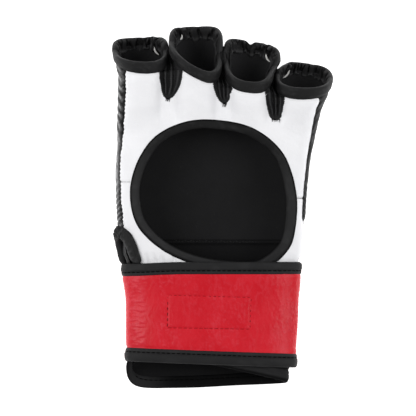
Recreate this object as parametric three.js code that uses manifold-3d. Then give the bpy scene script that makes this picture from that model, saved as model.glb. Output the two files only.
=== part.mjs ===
// An open-palm fight glove for the left hand, lying on its padded back with the palm up.
// Millimetres: X runs across the hand to the little finger, Y along the fingers, Z up out of the palm.
// Every piece is a curved wall between an outer and an inner skin of one hand form.
import * as THREE from 'three';
import { mergeVertices } from 'three/addons/utils/BufferGeometryUtils.js';
import Module from 'manifold-3d';

const wasm = await Module();
wasm.setup();

// Driving sizes
const seamGap = 0.35; // clearance kept between sewn pieces
const leather = 1.5; // palm leather
const sleeveWall = 1.5; // cloth of the finger sleeves
const cuffWall = 3;
const tapeWidth = 8; // seen width of the folded binding tape
const tapeThickness = 3.2;
const lining = 1.2;
const bodyPower = 3; // squareness of the hand's cross-section
const fingerPower = 2.5;
const mouthPower = 3.6; // squareness of the mouths' back rims, seen from the palm
const shellSeam = 93 * (Math.PI / 180); // angle from the palm's middle to the back shell's edge
const valleyReach = 0.9; // share of a finger's half width at which the valley beside it bottoms out
const fingerBase = 58; // where the padded back ends and the finger sleeves begin
const bodyEnd = -46.5; // lower end of palm and back, under the strap
const facingTop = -22; // upper edge of the cuff's facing, inside the hand

// Hand form: silhouette and height at stations along Y, and the padding of the back
const handForm = [
  { y: 62, left: -67.2, right: 64.2, back: -1.2, palm: 48.4, pad: 18 },
  { y: 50, left: -67.6, right: 61.1, back: -1.2, palm: 47.4, pad: 18 },
  { y: 24, left: -68.3, right: 56.2, back: -1.2, palm: 44.6, pad: 15 },
  { y: -2, left: -67.6, right: 54.0, back: -1.2, palm: 41.6, pad: 12.5 },
  { y: -20, left: -66.4, right: 53.4, back: -0.6, palm: 39.4, pad: 11.4 },
  { y: -30, left: -65.4, right: 52.3, back: 4.2, palm: 37.8, pad: 6.5 },
  { y: -36, left: -62.9, right: 48.9, back: 7.1, palm: 36.2, pad: 3.5 },
  { y: -44, left: -61.2, right: 47.5, back: 7.1, palm: 34.4, pad: 3.2 },
  { y: -67, left: -59.4, right: 47.2, back: 7.0, palm: 33.6, pad: 3.1 },
  { y: -91, left: -59.3, right: 45.8, back: 7.0, palm: 33.4, pad: 3 },
  { y: -105, left: -61.8, right: 45.2, back: 7.0, palm: 33.2, pad: 3 },
  { y: -120, left: -60.0, right: 43.6, back: 5.0, palm: 32.6, pad: 3 },
];

// Edges of the pieces at the sides: where the palm leather stops, and the thumb hole's lower lip in degrees
const sideEdges = [
  { y: 96, thumbEdge: -64.5, outerEdge: 69.5, thumbLip: 93 },
  { y: 70, thumbEdge: -62.6, outerEdge: 62.4, thumbLip: 93 },
  { y: 50, thumbEdge: -63.4, outerEdge: 58.3, thumbLip: 93 },
  { y: 24, thumbEdge: -65.7, outerEdge: 54.9, thumbLip: 93 },
  { y: -2, thumbEdge: -64.9, outerEdge: 52.9, thumbLip: 93 },
  { y: -10.2, thumbEdge: -64.4, outerEdge: 52.7, thumbLip: 93 },
  { y: -11.6, thumbEdge: -63.4, outerEdge: 52.6, thumbLip: 109 },
  { y: -17, thumbEdge: -58.8, outerEdge: 52.4, thumbLip: 124 },
  { y: -25, thumbEdge: -54.7, outerEdge: 51.6, thumbLip: 132 },
  { y: -33, thumbEdge: -52.6, outerEdge: 49.4, thumbLip: 133 },
  { y: -47, thumbEdge: -51.2, outerEdge: 46.0, thumbLip: 133 },
];

// Lines that part the fingers, from the thumb's side to the outer side
const fingerLines = [
  { y: 50, line0: -67.6, line1: -35.0, line2: 1.8, line3: 34.8, line4: 61.1 },
  { y: 62, line0: -67.2, line1: -34.9, line2: 1.7, line3: 34.6, line4: 64.2 },
  { y: 75, line0: -67.2, line1: -34.4, line2: 1.3, line3: 34.2, line4: 69.4 },
  { y: 85, line0: -67.8, line1: -33.8, line2: 1.0, line3: 35.2, line4: 72.2 },
  { y: 95, line0: -70.2, line1: -33.8, line2: 0.8, line3: 38.4, line4: 72.4 },
  { y: 105, line0: -71.4, line1: -34.3, line2: 0.9, line3: 38.8, line4: 72.4 },
  { y: 118, line0: -71.4, line1: -34.3, line2: 0.9, line3: 38.8, line4: 72.4 },
];

// One row a finger: where its mouth opens on the palm and on the back, and how high it curls
const fingers = [
  {
    name: 'index', palmRim: 93.7, backRim: 110.2,
    palmSlant: -0.04, backSlant: 0.05, palmTop: 55, backRise: 12,
  },
  {
    name: 'middle', palmRim: 90.3, backRim: 117.2,
    palmSlant: -0.46, backSlant: 0, palmTop: 57, backRise: 17,
  },
  {
    name: 'ring', palmRim: 80.9, backRim: 107.4,
    palmSlant: -0.12, backSlant: -0.12, palmTop: 55, backRise: 13.8,
  },
  {
    name: 'little', palmRim: 76.9, backRim: 93.4,
    palmSlant: -0.03, backSlant: -0.1, palmTop: 51, backRise: 8.6,
  },
];

// Black gussets between the fingers: the tip on the palm and the two corners at the finger mouths
const gussets = [
  { name: 'index_middle', tipX: -34.8, tipY: 69.4, leftX: -39.9, rightX: -25.6, topY: 90, tipWidth: 1.6 },
  { name: 'middle_ring', tipX: 1.9, tipY: 66.4, leftX: -5.2, rightX: 6.6, topY: 84, tipWidth: 1.6 },
  { name: 'ring_little', tipX: 35.6, tipY: 56.0, leftX: 28.4, rightX: 40.0, topY: 80, tipWidth: 5.6 },
];

// Outer edge of the tape round the palm opening
const palmOpening = [
  { x: -6, y: 56.4 }, { x: 20.6, y: 50.8 }, { x: 39.3, y: 35.6 }, { x: 48.0, y: 13.5 },
  { x: 49.0, y: -8 }, { x: 43.6, y: -27 }, { x: 29, y: -38.6 }, { x: 3, y: -41.4 },
  { x: -21, y: -36.8 }, { x: -41, y: -26.8 }, { x: -55.4, y: -11.5 }, { x: -59.6, y: 9 },
  { x: -55, y: 28.5 }, { x: -43.4, y: 45.2 }, { x: -25.6, y: 54.4 },
];

// Middle line of the tape round the thumb hole: angles from the palm's middle, and how far it stands out
const thumbOpening = [
  { y: -14.0, angle: -84, out: 0.8 }, { y: -16.2, angle: -66, out: 0 }, { y: -21.8, angle: -55.5, out: 0 },
  { y: -30.0, angle: -51.5, out: 0 }, { y: -39.5, angle: -54, out: 0 }, { y: -43.1, angle: -72, out: 0 },
  { y: -43.1, angle: -104, out: 0 }, { y: -39.0, angle: -124, out: -0.4 },
  { y: -30.0, angle: -123, out: 2.0 },
  { y: -22.0, angle: -119, out: 2.8 }, { y: -16.6, angle: -105, out: 2.2 },
];

// Wrist strap: sewn down on the back, over the palm to the thumb's side, its free end laid over its start
const strap = {
  startAngle: 200, // degrees from the palm's middle, falling along the strap
  endAngle: -215,
  climbFrom: -112,
  climbTo: -158,
  top: { y: -36.9, perX: 0.008 },
  bottom: { y: -102.9, perX: -0.038 },
  layerStep: 4.0, // how far the free end lies outside its start
  innerOffset: 0.45,
  tapeThickness: 2.5,
  leatherInset: 0.25,
  flare: 1.1, // how far its upper edge stands off the palm
};
const hookPatch = { fromAngle: 152, toAngle: 196, top: -52, bottom: -88, innerOffset: 3.3, outerOffset: 4.1 };

// Lower edge of the cuff: a slanting line on the palm and another on the back
const cuffEdge = { palmY: -105.5, palmPerX: -0.2, backY: -116.0, backPerX: 0.035, tape: 8, tapeThickness: 4 };

const colours = {
  white: { color: 0xf1f1f3, roughness: 0.45, metalness: 0 },
  red: { color: 0xc81e2b, roughness: 0.4, metalness: 0 },
  tape: { color: 0x2a2a2a, roughness: 0.75, metalness: 0 },
  lining: { color: 0x151515, roughness: 0.85, metalness: 0 },
  hide: { color: 0x1c1c1c, roughness: 0.5, metalness: 0 },
};

// Smooth value of a table's column at y, with no overshoot between its rows
function columnCurve(rows, name) {
  const sorted = [...rows].sort((a, b) => a.y - b.y);
  const slopes = sorted.slice(1).map((row, i) => (row[name] - sorted[i][name]) / (row.y - sorted[i].y));
  const tangents = sorted.map((row, i) => {
    if (i === 0) return slopes[0];
    if (i === sorted.length - 1) return slopes[i - 1];
    const [before, after] = [slopes[i - 1], slopes[i]];
    return before * after > 0 ? (2 * before * after) / (before + after) : 0;
  });
  return (y) => {
    const at = THREE.MathUtils.clamp(y, sorted[0].y, sorted[sorted.length - 1].y);
    let i = 0;
    while (i < sorted.length - 2 && at > sorted[i + 1].y) i += 1;
    const span = sorted[i + 1].y - sorted[i].y;
    const t = (at - sorted[i].y) / span;
    const rise = t * t * (3 - 2 * t);
    return (
      sorted[i][name] * (1 - rise) + sorted[i + 1][name] * rise +
      span * (tangents[i] * t * (1 - t) ** 2 - tangents[i + 1] * t * t * (1 - t))
    );
  };
}

const form = {};
for (const name of ['left', 'right', 'back', 'palm', 'pad']) form[name] = columnCurve(handForm, name);
const edges = {};
for (const name of ['thumbEdge', 'outerEdge', 'thumbLip']) edges[name] = columnCurve(sideEdges, name);
const lines = [0, 1, 2, 3, 4].map((i) => columnCurve(fingerLines, `line${i}`));

// A point of the unit rounded square in the direction of an angle from the palm's middle
function roundedSquare(angle, power) {
  const across = Math.sin(angle);
  const up = Math.cos(angle);
  const reach = (Math.abs(across) ** power + Math.abs(up) ** power) ** (-1 / power);
  return { across: across * reach, up: up * reach };
}

function squareHeight(across, power) {
  return Math.max(0, 1 - Math.abs(across) ** power) ** (1 / power);
}

// A finger's cross-section at y, as the box that its rounded square fills
function fingerBox(index, y) {
  const finger = fingers[index];
  const along = THREE.MathUtils.clamp((y - 50) / (finger.palmRim - 50), 0, 1.6);
  const curl = Math.max(0, (y - 52) / (finger.backRim - 52));
  return {
    left: lines[index](y) + seamGap / 2,
    right: lines[index + 1](y) - seamGap / 2,
    back: finger.backRise * curl ** 1.7,
    palm: 47.4 + (finger.palmTop - 47.4) * along,
    power: fingerPower,
  };
}

function bodyBox(y) {
  return {
    left: form.left(y),
    right: form.right(y),
    back: form.back(y),
    palm: form.palm(y),
    power: bodyPower,
  };
}

// A point of a cross-section, taken in from its skin by the side, palm and back insets
function sectionPoint(box, y, angle, inset) {
  const { across, up } = roundedSquare(angle, box.power);
  const left = box.left + inset.side;
  const right = box.right - inset.side;
  const back = box.back + inset.back;
  const palm = box.palm - inset.palm;
  return new THREE.Vector3(
    (left + right) / 2 + ((right - left) / 2) * across,
    y,
    (back + palm) / 2 + ((palm - back) / 2) * up,
  );
}

function evenInset(amount) {
  return { side: amount, palm: amount, back: amount };
}

// Height of a cross-section's palm side or back side at x. Past the reach the height stays level,
// which gives the valleys between the fingers a floor.
function boxSurface(box, x, sign, reach = 1) {
  const share = (2 * x - box.left - box.right) / (box.right - box.left);
  const across = THREE.MathUtils.clamp(share, -reach, reach);
  return (box.back + box.palm) / 2 + sign * ((box.palm - box.back) / 2) * squareHeight(across, box.power);
}

// Height of the whole glove's palm side (sign 1) or back side (sign -1) over a plan point
function gloveHeight(x, y, sign) {
  const body = boxSurface(bodyBox(Math.min(y, 62)), x, sign);
  const share = THREE.MathUtils.smoothstep(y, sign > 0 ? 46 : 30, sign > 0 ? 66 : fingerBase);
  if (share === 0) return body;
  const heights = fingers.map((finger, i) => boxSurface(fingerBox(i, y), x, sign, valleyReach));
  const inside = fingers.map((finger, i) => x >= lines[i](y) && x <= lines[i + 1](y));
  const index = Math.max(0, inside.indexOf(true));
  return THREE.MathUtils.lerp(body, heights[inside.includes(true) ? index : x < 0 ? 0 : 3], share);
}

function palmNormal(x, y) {
  const step = 0.4;
  const slopeX = (gloveHeight(x + step, y, 1) - gloveHeight(x - step, y, 1)) / (2 * step);
  const slopeY = (gloveHeight(x, y + step, 1) - gloveHeight(x, y - step, 1)) / (2 * step);
  return new THREE.Vector3(-slopeX, -slopeY, 1).normalize();
}

function signedVolume(positions, triangles) {
  const [a, b, c] = [new THREE.Vector3(), new THREE.Vector3(), new THREE.Vector3()];
  let volume = 0;
  for (let i = 0; i < triangles.length; i += 3) {
    a.fromArray(positions, triangles[i] * 3);
    b.fromArray(positions, triangles[i + 1] * 3);
    c.fromArray(positions, triangles[i + 2] * 3);
    volume += a.dot(b.cross(c)) / 6;
  }
  return volume;
}

function closedGeometry(points, triangles) {
  const positions = points.flatMap((p) => [p.x, p.y, p.z]);
  if (signedVolume(positions, triangles) < 0) {
    for (let i = 0; i < triangles.length; i += 3) {
      [triangles[i + 1], triangles[i + 2]] = [triangles[i + 2], triangles[i + 1]];
    }
  }
  const geometry = new THREE.BufferGeometry();
  geometry.setAttribute('position', new THREE.Float32BufferAttribute(positions, 3));
  geometry.setIndex(triangles);
  return geometry;
}

// A wall between two skins: point(i, j, skin) is on the outer skin at 0 and the inner at 1.
// With round true the columns close on themselves, as a sleeve does.
function wall(columns, rows, round, point) {
  const perRow = round ? columns : columns + 1;
  const points = [];
  for (const skin of [0, 1]) {
    for (let j = 0; j <= rows; j += 1) {
      for (let i = 0; i < perRow; i += 1) points.push(point(i, j, skin));
    }
  }
  const at = (i, j, skin) => (skin * (rows + 1) + j) * perRow + (i % perRow);
  const triangles = [];
  const quad = (a, b, c, d) => triangles.push(a, b, c, a, c, d);
  for (let i = 0; i < columns; i += 1) {
    for (let j = 0; j < rows; j += 1) {
      quad(at(i, j, 0), at(i + 1, j, 0), at(i + 1, j + 1, 0), at(i, j + 1, 0));
      quad(at(i, j, 1), at(i, j + 1, 1), at(i + 1, j + 1, 1), at(i + 1, j, 1));
    }
    quad(at(i, 0, 1), at(i + 1, 0, 1), at(i + 1, 0, 0), at(i, 0, 0));
    quad(at(i, rows, 0), at(i + 1, rows, 0), at(i + 1, rows, 1), at(i, rows, 1));
  }
  for (let j = 0; !round && j < rows; j += 1) {
    quad(at(0, j, 0), at(0, j + 1, 0), at(0, j + 1, 1), at(0, j, 1));
    quad(at(columns, j, 1), at(columns, j + 1, 1), at(columns, j + 1, 0), at(columns, j, 0));
  }
  return closedGeometry(points, triangles);
}

// A band of tape along a closed path. place(i) gives its middle, the way across it and the way out of it.
function tapeRing(stations, width, thickness, place) {
  const profile = [
    [-0.5, -0.3], [-0.42, -0.5], [0.42, -0.5], [0.5, -0.3],
    [0.5, 0.3], [0.42, 0.5], [-0.42, 0.5], [-0.5, 0.3],
  ];
  const points = [];
  for (let i = 0; i < stations; i += 1) {
    const { middle, across, out } = place(i / stations);
    for (const [u, v] of profile) {
      points.push(middle.clone().addScaledVector(across, u * width).addScaledVector(out, v * thickness));
    }
  }
  const count = profile.length;
  const at = (i, k) => (i % stations) * count + (k % count);
  const triangles = [];
  for (let i = 0; i < stations; i += 1) {
    for (let k = 0; k < count; k += 1) {
      triangles.push(at(i, k), at(i + 1, k), at(i + 1, k + 1), at(i, k), at(i + 1, k + 1), at(i, k + 1));
    }
  }
  return closedGeometry(points, triangles);
}

function toSolid(geometry) {
  const bare = geometry.clone();
  bare.deleteAttribute('normal');
  bare.deleteAttribute('uv');
  const merged = mergeVertices(bare, 1e-4);
  return new wasm.Manifold(new wasm.Mesh({
    numProp: 3,
    vertProperties: new Float32Array(merged.attributes.position.array),
    triVerts: new Uint32Array(merged.index.array),
  }));
}

function toGeometry(solid) {
  const mesh = solid.getMesh();
  const geometry = new THREE.BufferGeometry();
  geometry.setAttribute('position', new THREE.BufferAttribute(mesh.vertProperties, mesh.numProp));
  geometry.setIndex(new THREE.BufferAttribute(mesh.triVerts, 1));
  return geometry;
}

// A plan outline carried straight up through the whole glove
function prism(outline, holes = []) {
  const shape = new THREE.Shape(outline);
  shape.holes = holes.map((hole) => new THREE.Path(hole));
  return toSolid(new THREE.ExtrudeGeometry(shape, { depth: 120, bevelEnabled: false }).translate(0, 0, -30));
}

const glove = new THREE.Group();
const hand = new THREE.Group();
glove.add(hand);

function addPiece(name, geometry, finish) {
  const mesh = new THREE.Mesh(geometry, new THREE.MeshStandardMaterial(colours[finish]));
  mesh.geometry.computeVertexNormals();
  mesh.name = name;
  hand.add(mesh);
}

// Finger mouths: how far along Y a finger's wall reaches at an angle round it
function mouthY(finger, box, angle) {
  const { across, up } = roundedSquare(angle, fingerPower);
  const middle = (finger.palmRim + finger.backRim) / 2;
  const half = (finger.backRim - finger.palmRim) / 2;
  const rim = up < 0 ? -squareHeight(across, mouthPower) : up;
  const slant = THREE.MathUtils.lerp(finger.backSlant, finger.palmSlant, (1 + up) / 2);
  return middle - half * rim + slant * across * ((box.right - box.left) / 2);
}

// The white leather's upper edge over a finger, just below that finger's tape
function lobeEdge(index, x) {
  const finger = fingers[index];
  const box = fingerBox(index, finger.palmRim);
  const across = (2 * x - box.left - box.right) / (box.right - box.left);
  const up = squareHeight(across, fingerPower);
  return mouthY(finger, box, Math.atan2(across, up)) - tapeWidth - 2 * seamGap;
}

// Palm side
function gussetSide(gusset, corner, share) {
  const start = gusset.tipX + Math.sign(corner - gusset.tipX) * (gusset.tipWidth / 2);
  const bulge = Math.sin((share * Math.PI) / 2) ** 0.65;
  return new THREE.Vector2(
    THREE.MathUtils.lerp(start, corner, bulge),
    THREE.MathUtils.lerp(gusset.tipY, gusset.topY, share),
  );
}

function palmOutline() {
  const points = [new THREE.Vector2(-80, bodyEnd), new THREE.Vector2(80, bodyEnd)];
  const steps = 6;
  for (let index = 3; index >= 0; index -= 1) {
    const right = index === 3 ? 80 : gussets[index].leftX;
    const left = index === 0 ? -80 : gussets[index - 1].rightX;
    for (let k = 0; k <= steps; k += 1) {
      const x = THREE.MathUtils.lerp(right, left, k / steps);
      const box = fingerBox(index, fingers[index].palmRim);
      const onFinger = THREE.MathUtils.clamp(x, box.left + 3, box.right - 3);
      points.push(new THREE.Vector2(x, lobeEdge(index, onFinger)));
    }
    if (index > 0) {
      const gusset = gussets[index - 1];
      const rightTop = lobeEdge(index, gusset.rightX);
      const leftTop = lobeEdge(index - 1, gusset.leftX);
      for (const share of [0.75, 0.5, 0.25, 0.12, 0.04, 0]) {
        const p = gussetSide(gusset, gusset.rightX, share);
        if (p.y < rightTop) points.push(p);
      }
      for (const share of [0, 0.04, 0.12, 0.25, 0.5, 0.75]) {
        const p = gussetSide(gusset, gusset.leftX, share);
        if (p.y < leftTop) points.push(p);
      }
    }
  }
  return points;
}

const openingCurve = new THREE.CatmullRomCurve3(
  palmOpening.map((p) => new THREE.Vector3(p.x, p.y, 0)), true, 'centripetal',
);
const openingRing = openingCurve.getSpacedPoints(40).slice(0, 40);

function palmSheet(columns, rows, xRange, yRange) {
  return wall(columns, rows, false, (i, j, skin) => {
    const y = THREE.MathUtils.lerp(yRange[0], yRange[1], j / rows);
    const [low, high] = xRange(y);
    const x = THREE.MathUtils.lerp(low, high, i / columns);
    const point = new THREE.Vector3(x, y, gloveHeight(x, y, 1));
    return skin ? point.addScaledVector(palmNormal(x, y), -leather) : point;
  });
}

const leatherSides = (y) => [edges.thumbEdge(y), edges.outerEdge(y)];
const palmHole = openingRing.map((p) => new THREE.Vector2(p.x, p.y));
const palmLeather = toSolid(palmSheet(26, 24, leatherSides, [bodyEnd, 90]))
  .intersect(prism(palmOutline(), [palmHole]));
addPiece('palm_leather', toGeometry(palmLeather), 'white');

// Tape round the palm opening, lying in the plane of the leather
addPiece('palm_opening_tape', tapeRing(40, tapeWidth - 2, tapeThickness, (t) => {
  const edge = openingCurve.getPointAt(t);
  const along = openingCurve.getTangentAt(t);
  const inward = new THREE.Vector3(-along.y, along.x, 0);
  if (inward.dot(new THREE.Vector3(-5, 8, 0).sub(edge)) < 0) inward.negate();
  const middle = edge.clone().addScaledVector(inward, 1.6 * seamGap + (tapeWidth - 2) / 2);
  const out = palmNormal(middle.x, middle.y);
  middle.z = gloveHeight(middle.x, middle.y, 1);
  middle.addScaledVector(out, -leather / 2);
  const across = inward.clone().addScaledVector(out, -inward.dot(out)).normalize();
  return { middle, across, out };
}), 'tape');

// Gussets: gathered cloth in the valleys between the fingers
const gussetDepth = 8;
gussets.forEach((gusset, index) => {
  const [columns, rows] = [8, 4];
  const height = (x, y) => {
    const ridge = Math.max(gloveHeight(gusset.leftX, y, 1), gloveHeight(gusset.rightX, y, 1));
    return Math.max(gloveHeight(x, y, 1), ridge - gussetDepth);
  };
  const topLeft = lobeEdge(index, gusset.leftX);
  const topRight = lobeEdge(index + 1, gusset.rightX);
  addPiece(`gusset_${gusset.name}`, wall(columns, rows, false, (i, j, skin) => {
    const across = i / columns;
    const share = 0.1 + 0.9 * (j / rows);
    const top = THREE.MathUtils.lerp(topLeft, topRight, across);
    const reach = Math.min(1, (top - gusset.tipY) / (gusset.topY - gusset.tipY)) * share;
    const left = gussetSide(gusset, gusset.leftX, reach);
    const right = gussetSide(gusset, gusset.rightX, reach);
    const x = THREE.MathUtils.lerp(left.x + 1.4 * seamGap, right.x - 1.4 * seamGap, across);
    const z = height(x, left.y) - 0.1;
    return new THREE.Vector3(x, left.y, skin ? z - 1.2 : z);
  }), 'lining');
});

// Finger sleeves: cloth tubes with a padded back, and the tape round each mouth
const around = (i, columns) => (i / columns) * 2 * Math.PI;
const sleeveDepth = leather + seamGap + 0.4; // how far the sleeves lie under the palm leather
const stripDepth = 2.3; // thickness of the side strips that wrap the outermost fingers

// A point of a sleeve, taken in from its outer skin by a further inset
function sleevePoint(index, y, angle, deeper) {
  const underEdges = THREE.MathUtils.smoothstep(Math.cos(angle), -0.75, -0.35);
  const point = sectionPoint(fingerBox(index, y), y, angle, {
    side: THREE.MathUtils.lerp(0.2, stripDepth + 3 * seamGap, underEdges) + deeper.side,
    palm: sleeveDepth + deeper.palm,
    back: deeper.back,
  });
  if (Math.cos(angle) > 0) {
    const cover = (sleeveDepth + deeper.palm) / Math.max(0.45, palmNormal(point.x, y).z);
    point.z = Math.min(point.z, gloveHeight(point.x, y, 1) - cover);
  }
  return point;
}

fingers.forEach((finger, index) => {
  const columns = 24;
  const sleeveRows = 4;
  const mouth = fingerBox(index, finger.palmRim);
  addPiece(`${finger.name}_sleeve`, wall(columns, sleeveRows, true, (i, j, skin) => {
    const angle = around(i, columns);
    const clearance = seamGap * (3 + 3 * Math.abs(Math.sin(angle)));
    const end = mouthY(finger, mouth, angle) - tapeWidth - clearance;
    const y = THREE.MathUtils.lerp(fingerBase + seamGap, end, j / sleeveRows);
    const narrowing = THREE.MathUtils.smoothstep(y, fingerBase, finger.backRim - 6);
    const padding = THREE.MathUtils.lerp(18, 5.4, narrowing);
    return sleevePoint(index, y, angle, {
      side: skin * sleeveWall,
      palm: skin * sleeveWall,
      back: skin * padding,
    });
  }), 'lining');
  addPiece(`${finger.name}_tape`, wall(columns, 2, true, (i, j, skin) => {
    const angle = around(i, columns);
    const y = mouthY(finger, mouth, angle) - tapeWidth * (1 - j / 2);
    const turn = j === 1 ? 0 : 0.7; // the fold at the tape's edges
    const outset = { side: 0.1 + turn, palm: turn - 0.2, back: turn };
    const inset = { side: 3.9 - turn, palm: 4.3 - turn, back: 5.8 - turn };
    return sectionPoint(fingerBox(index, y), y, angle, skin ? inset : outset);
  }), 'tape');
});

// Back of the hand: one padded shell, flat where it rests, with low ridges towards the fingers
function backPoint(y, angle, insetBack, insetSide) {
  const point = sectionPoint(bodyBox(y), y, angle, { side: insetSide, palm: 0, back: 0 });
  point.z += insetBack * THREE.MathUtils.smoothstep(-Math.cos(angle), 0, 0.7);
  return point;
}

const shellStations = [bodyEnd, -36.2, -31, -24.5, -18, -11.6, -10.2, 6, 22, 38, 48, fingerBase];
const shellRows = shellStations.length - 1;
const shellColumns = 26;
const shellSide = 2.4; // thickness at the sides, where there is no padding
addPiece('back_shell', wall(shellColumns, shellRows, false, (i, j, skin) => {
  const y = shellStations[j];
  const from = -THREE.MathUtils.degToRad(edges.thumbLip(y));
  const to = shellSeam - 2 * Math.PI;
  const angle = THREE.MathUtils.lerp(from, to, i / shellColumns);
  if (skin) return backPoint(y, angle, form.pad(y), shellSide);
  const point = backPoint(y, angle, 0, 0);
  const share = THREE.MathUtils.smoothstep(Math.abs(Math.cos(angle)), 0.05, 0.4);
  const ridged = Math.max(point.z, gloveHeight(point.x, y, -1));
  point.z = Math.max(0, THREE.MathUtils.lerp(point.z, ridged, share));
  return point;
}), 'hide');

// Lining of the back, seen through the palm opening, and the cuff's facing below it
function innerFacing(name, fromY, toY, rows) {
  const columns = 14;
  addPiece(name, wall(columns, rows, false, (i, j, skin) => {
    const y = THREE.MathUtils.lerp(fromY, toY, j / rows);
    const angle = THREE.MathUtils.degToRad(THREE.MathUtils.lerp(-138, -222, i / columns));
    const lift = 2 * seamGap + (skin ? lining : 0);
    return backPoint(y, angle, form.pad(y) + lift, shellSide + lift);
  }), 'lining');
}
innerFacing('back_lining', facingTop + seamGap, fingerBase, 6);
innerFacing('cuff_facing', -92, facingTop, 8);

// Side strips: the gathered edge of the back, rolled up to the palm leather
function edgeAngle(box, x) {
  const share = (2 * x - box.left - box.right) / (box.right - box.left);
  const across = THREE.MathUtils.clamp(share, -0.999, 0.999);
  return Math.atan2(across, squareHeight(across, box.power));
}

// A point between a strip's palm edge (share 0) and its back edge (share 1)
function stripPoint(strip, y, share, inset) {
  const palmEdge = strip.edge(y) + strip.sign * seamGap;
  const onForm = (box) => {
    const from = edgeAngle(box, palmEdge) + strip.sign * 0.02;
    const to = strip.sign * (shellSeam - 0.04);
    return sectionPoint(box, y, THREE.MathUtils.lerp(from, to, share), evenInset(inset));
  };
  const toFinger = THREE.MathUtils.smoothstep(y, 46, 66);
  return onForm(bodyBox(Math.min(y, 62))).lerp(onForm(fingerBox(strip.finger, y)), toFinger);
}

const strips = [
  { name: 'thumb_side_strip', sign: -1, edge: edges.thumbEdge, finger: 0, fromY: -9.4 },
  { name: 'outer_side_strip', sign: 1, edge: edges.outerEdge, finger: 3, fromY: bodyEnd },
];
for (const strip of strips) {
  const [columns, rows] = [4, 12];
  const finger = fingers[strip.finger];
  const toY = mouthY(finger, fingerBox(strip.finger, finger.palmRim), strip.sign * 0.8) - tapeWidth - 1;
  addPiece(strip.name, wall(columns, rows, false, (i, j, skin) => {
    const y = THREE.MathUtils.lerp(strip.fromY, toY, j / rows);
    const clearOfStrap = THREE.MathUtils.smoothstep(y, -37, -32);
    const fullness = Math.sin((i / columns) * Math.PI) * 0.5 * clearOfStrap;
    return stripPoint(strip, y, i / columns, skin ? stripDepth : -fullness);
  }), 'hide');
}

// Tape round the thumb hole, over the rounded side of the hand
const thumbCurve = new THREE.CatmullRomCurve3(
  thumbOpening.map((p) => (
    sectionPoint(bodyBox(p.y), p.y, THREE.MathUtils.degToRad(p.angle), evenInset(-p.out))
  )),
  true, 'centripetal',
);
const thumbMiddle = new THREE.Vector3(-66, -30, 20);
addPiece('thumb_hole_tape', tapeRing(28, 5.6, 2.8, (t) => {
  const middle = thumbCurve.getPointAt(t);
  const box = bodyBox(middle.y);
  const out = new THREE.Vector3(
    (middle.x - (box.left + box.right) / 2) / ((box.right - box.left) / 2),
    0,
    (1.6 * (middle.z - (box.back + box.palm) / 2)) / ((box.palm - box.back) / 2),
  ).normalize();
  const along = thumbCurve.getTangentAt(t);
  const across = new THREE.Vector3().crossVectors(along, out).normalize();
  if (across.dot(thumbMiddle.clone().sub(middle)) < 0) across.negate();
  const clearOfStrap = THREE.MathUtils.smoothstep(middle.y, -36.5, -27);
  middle.addScaledVector(out, -THREE.MathUtils.lerp(2.2, 0.5, clearOfStrap));
  return { middle, across, out: new THREE.Vector3().crossVectors(across, along).normalize() };
}), 'tape');

// Cuff: a padded tube under the strap, with tape round its slanting lower edge
function cuffEnd(angle) {
  const { across, up } = roundedSquare(angle, bodyPower);
  const x = across * 52 - 7;
  const palm = cuffEdge.palmY + cuffEdge.palmPerX * x;
  const back = cuffEdge.backY + cuffEdge.backPerX * x;
  return THREE.MathUtils.lerp(back, palm, THREE.MathUtils.smoothstep(up, -0.95, 0.95));
}

const cuffColumns = 28;
addPiece('cuff', wall(cuffColumns, 3, true, (i, j, skin) => {
  const angle = around(i, cuffColumns);
  const y = THREE.MathUtils.lerp(bodyEnd - seamGap, cuffEnd(angle) + cuffEdge.tape + 2.5 * seamGap, j / 3);
  return sectionPoint(bodyBox(y), y, angle, evenInset(skin ? cuffWall : 0.9));
}), 'lining');
addPiece('cuff_tape', wall(cuffColumns, 2, true, (i, j, skin) => {
  const angle = around(i, cuffColumns);
  const y = cuffEnd(angle) + cuffEdge.tape * (j / 2);
  const turn = [0.9, 0, 0.3][j]; // the fold at the tape's edges
  return sectionPoint(bodyBox(y), y, angle, evenInset(skin ? cuffEdge.tapeThickness - turn : turn));
}), 'tape');

// Wrist strap: red leather between two tapes, with a taped free end over a hook patch
function strapPoint(share, y, offset) {
  const degrees = THREE.MathUtils.lerp(strap.startAngle, strap.endAngle, share);
  const angle = THREE.MathUtils.degToRad(degrees);
  const climb = THREE.MathUtils.smoothstep(-degrees, -strap.climbFrom, -strap.climbTo);
  const total = offset + strap.layerStep * climb;
  const nearPalm = Math.min(1, 1 + Math.cos(angle));
  const flare = strap.flare * THREE.MathUtils.smoothstep(y, -47, -41) * nearPalm;
  return sectionPoint(bodyBox(y), y, angle, { side: -total - flare, palm: -total - flare, back: -total });
}

function strapEdge(edge, share) {
  const degrees = THREE.MathUtils.lerp(strap.startAngle, strap.endAngle, share);
  return edge.y + edge.perX * (roundedSquare(THREE.MathUtils.degToRad(degrees), bodyPower).across * 55 - 6);
}

function strapBand(name, columns, shares, low, high, offsets, finish, rows) {
  addPiece(name, wall(columns, rows, false, (i, j, skin) => {
    const share = THREE.MathUtils.lerp(shares[0], shares[1], i / columns);
    const y = THREE.MathUtils.lerp(low(share), high(share), j / rows);
    return strapPoint(share, y, skin ? offsets[0] : offsets[1]);
  }), finish);
}

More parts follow.
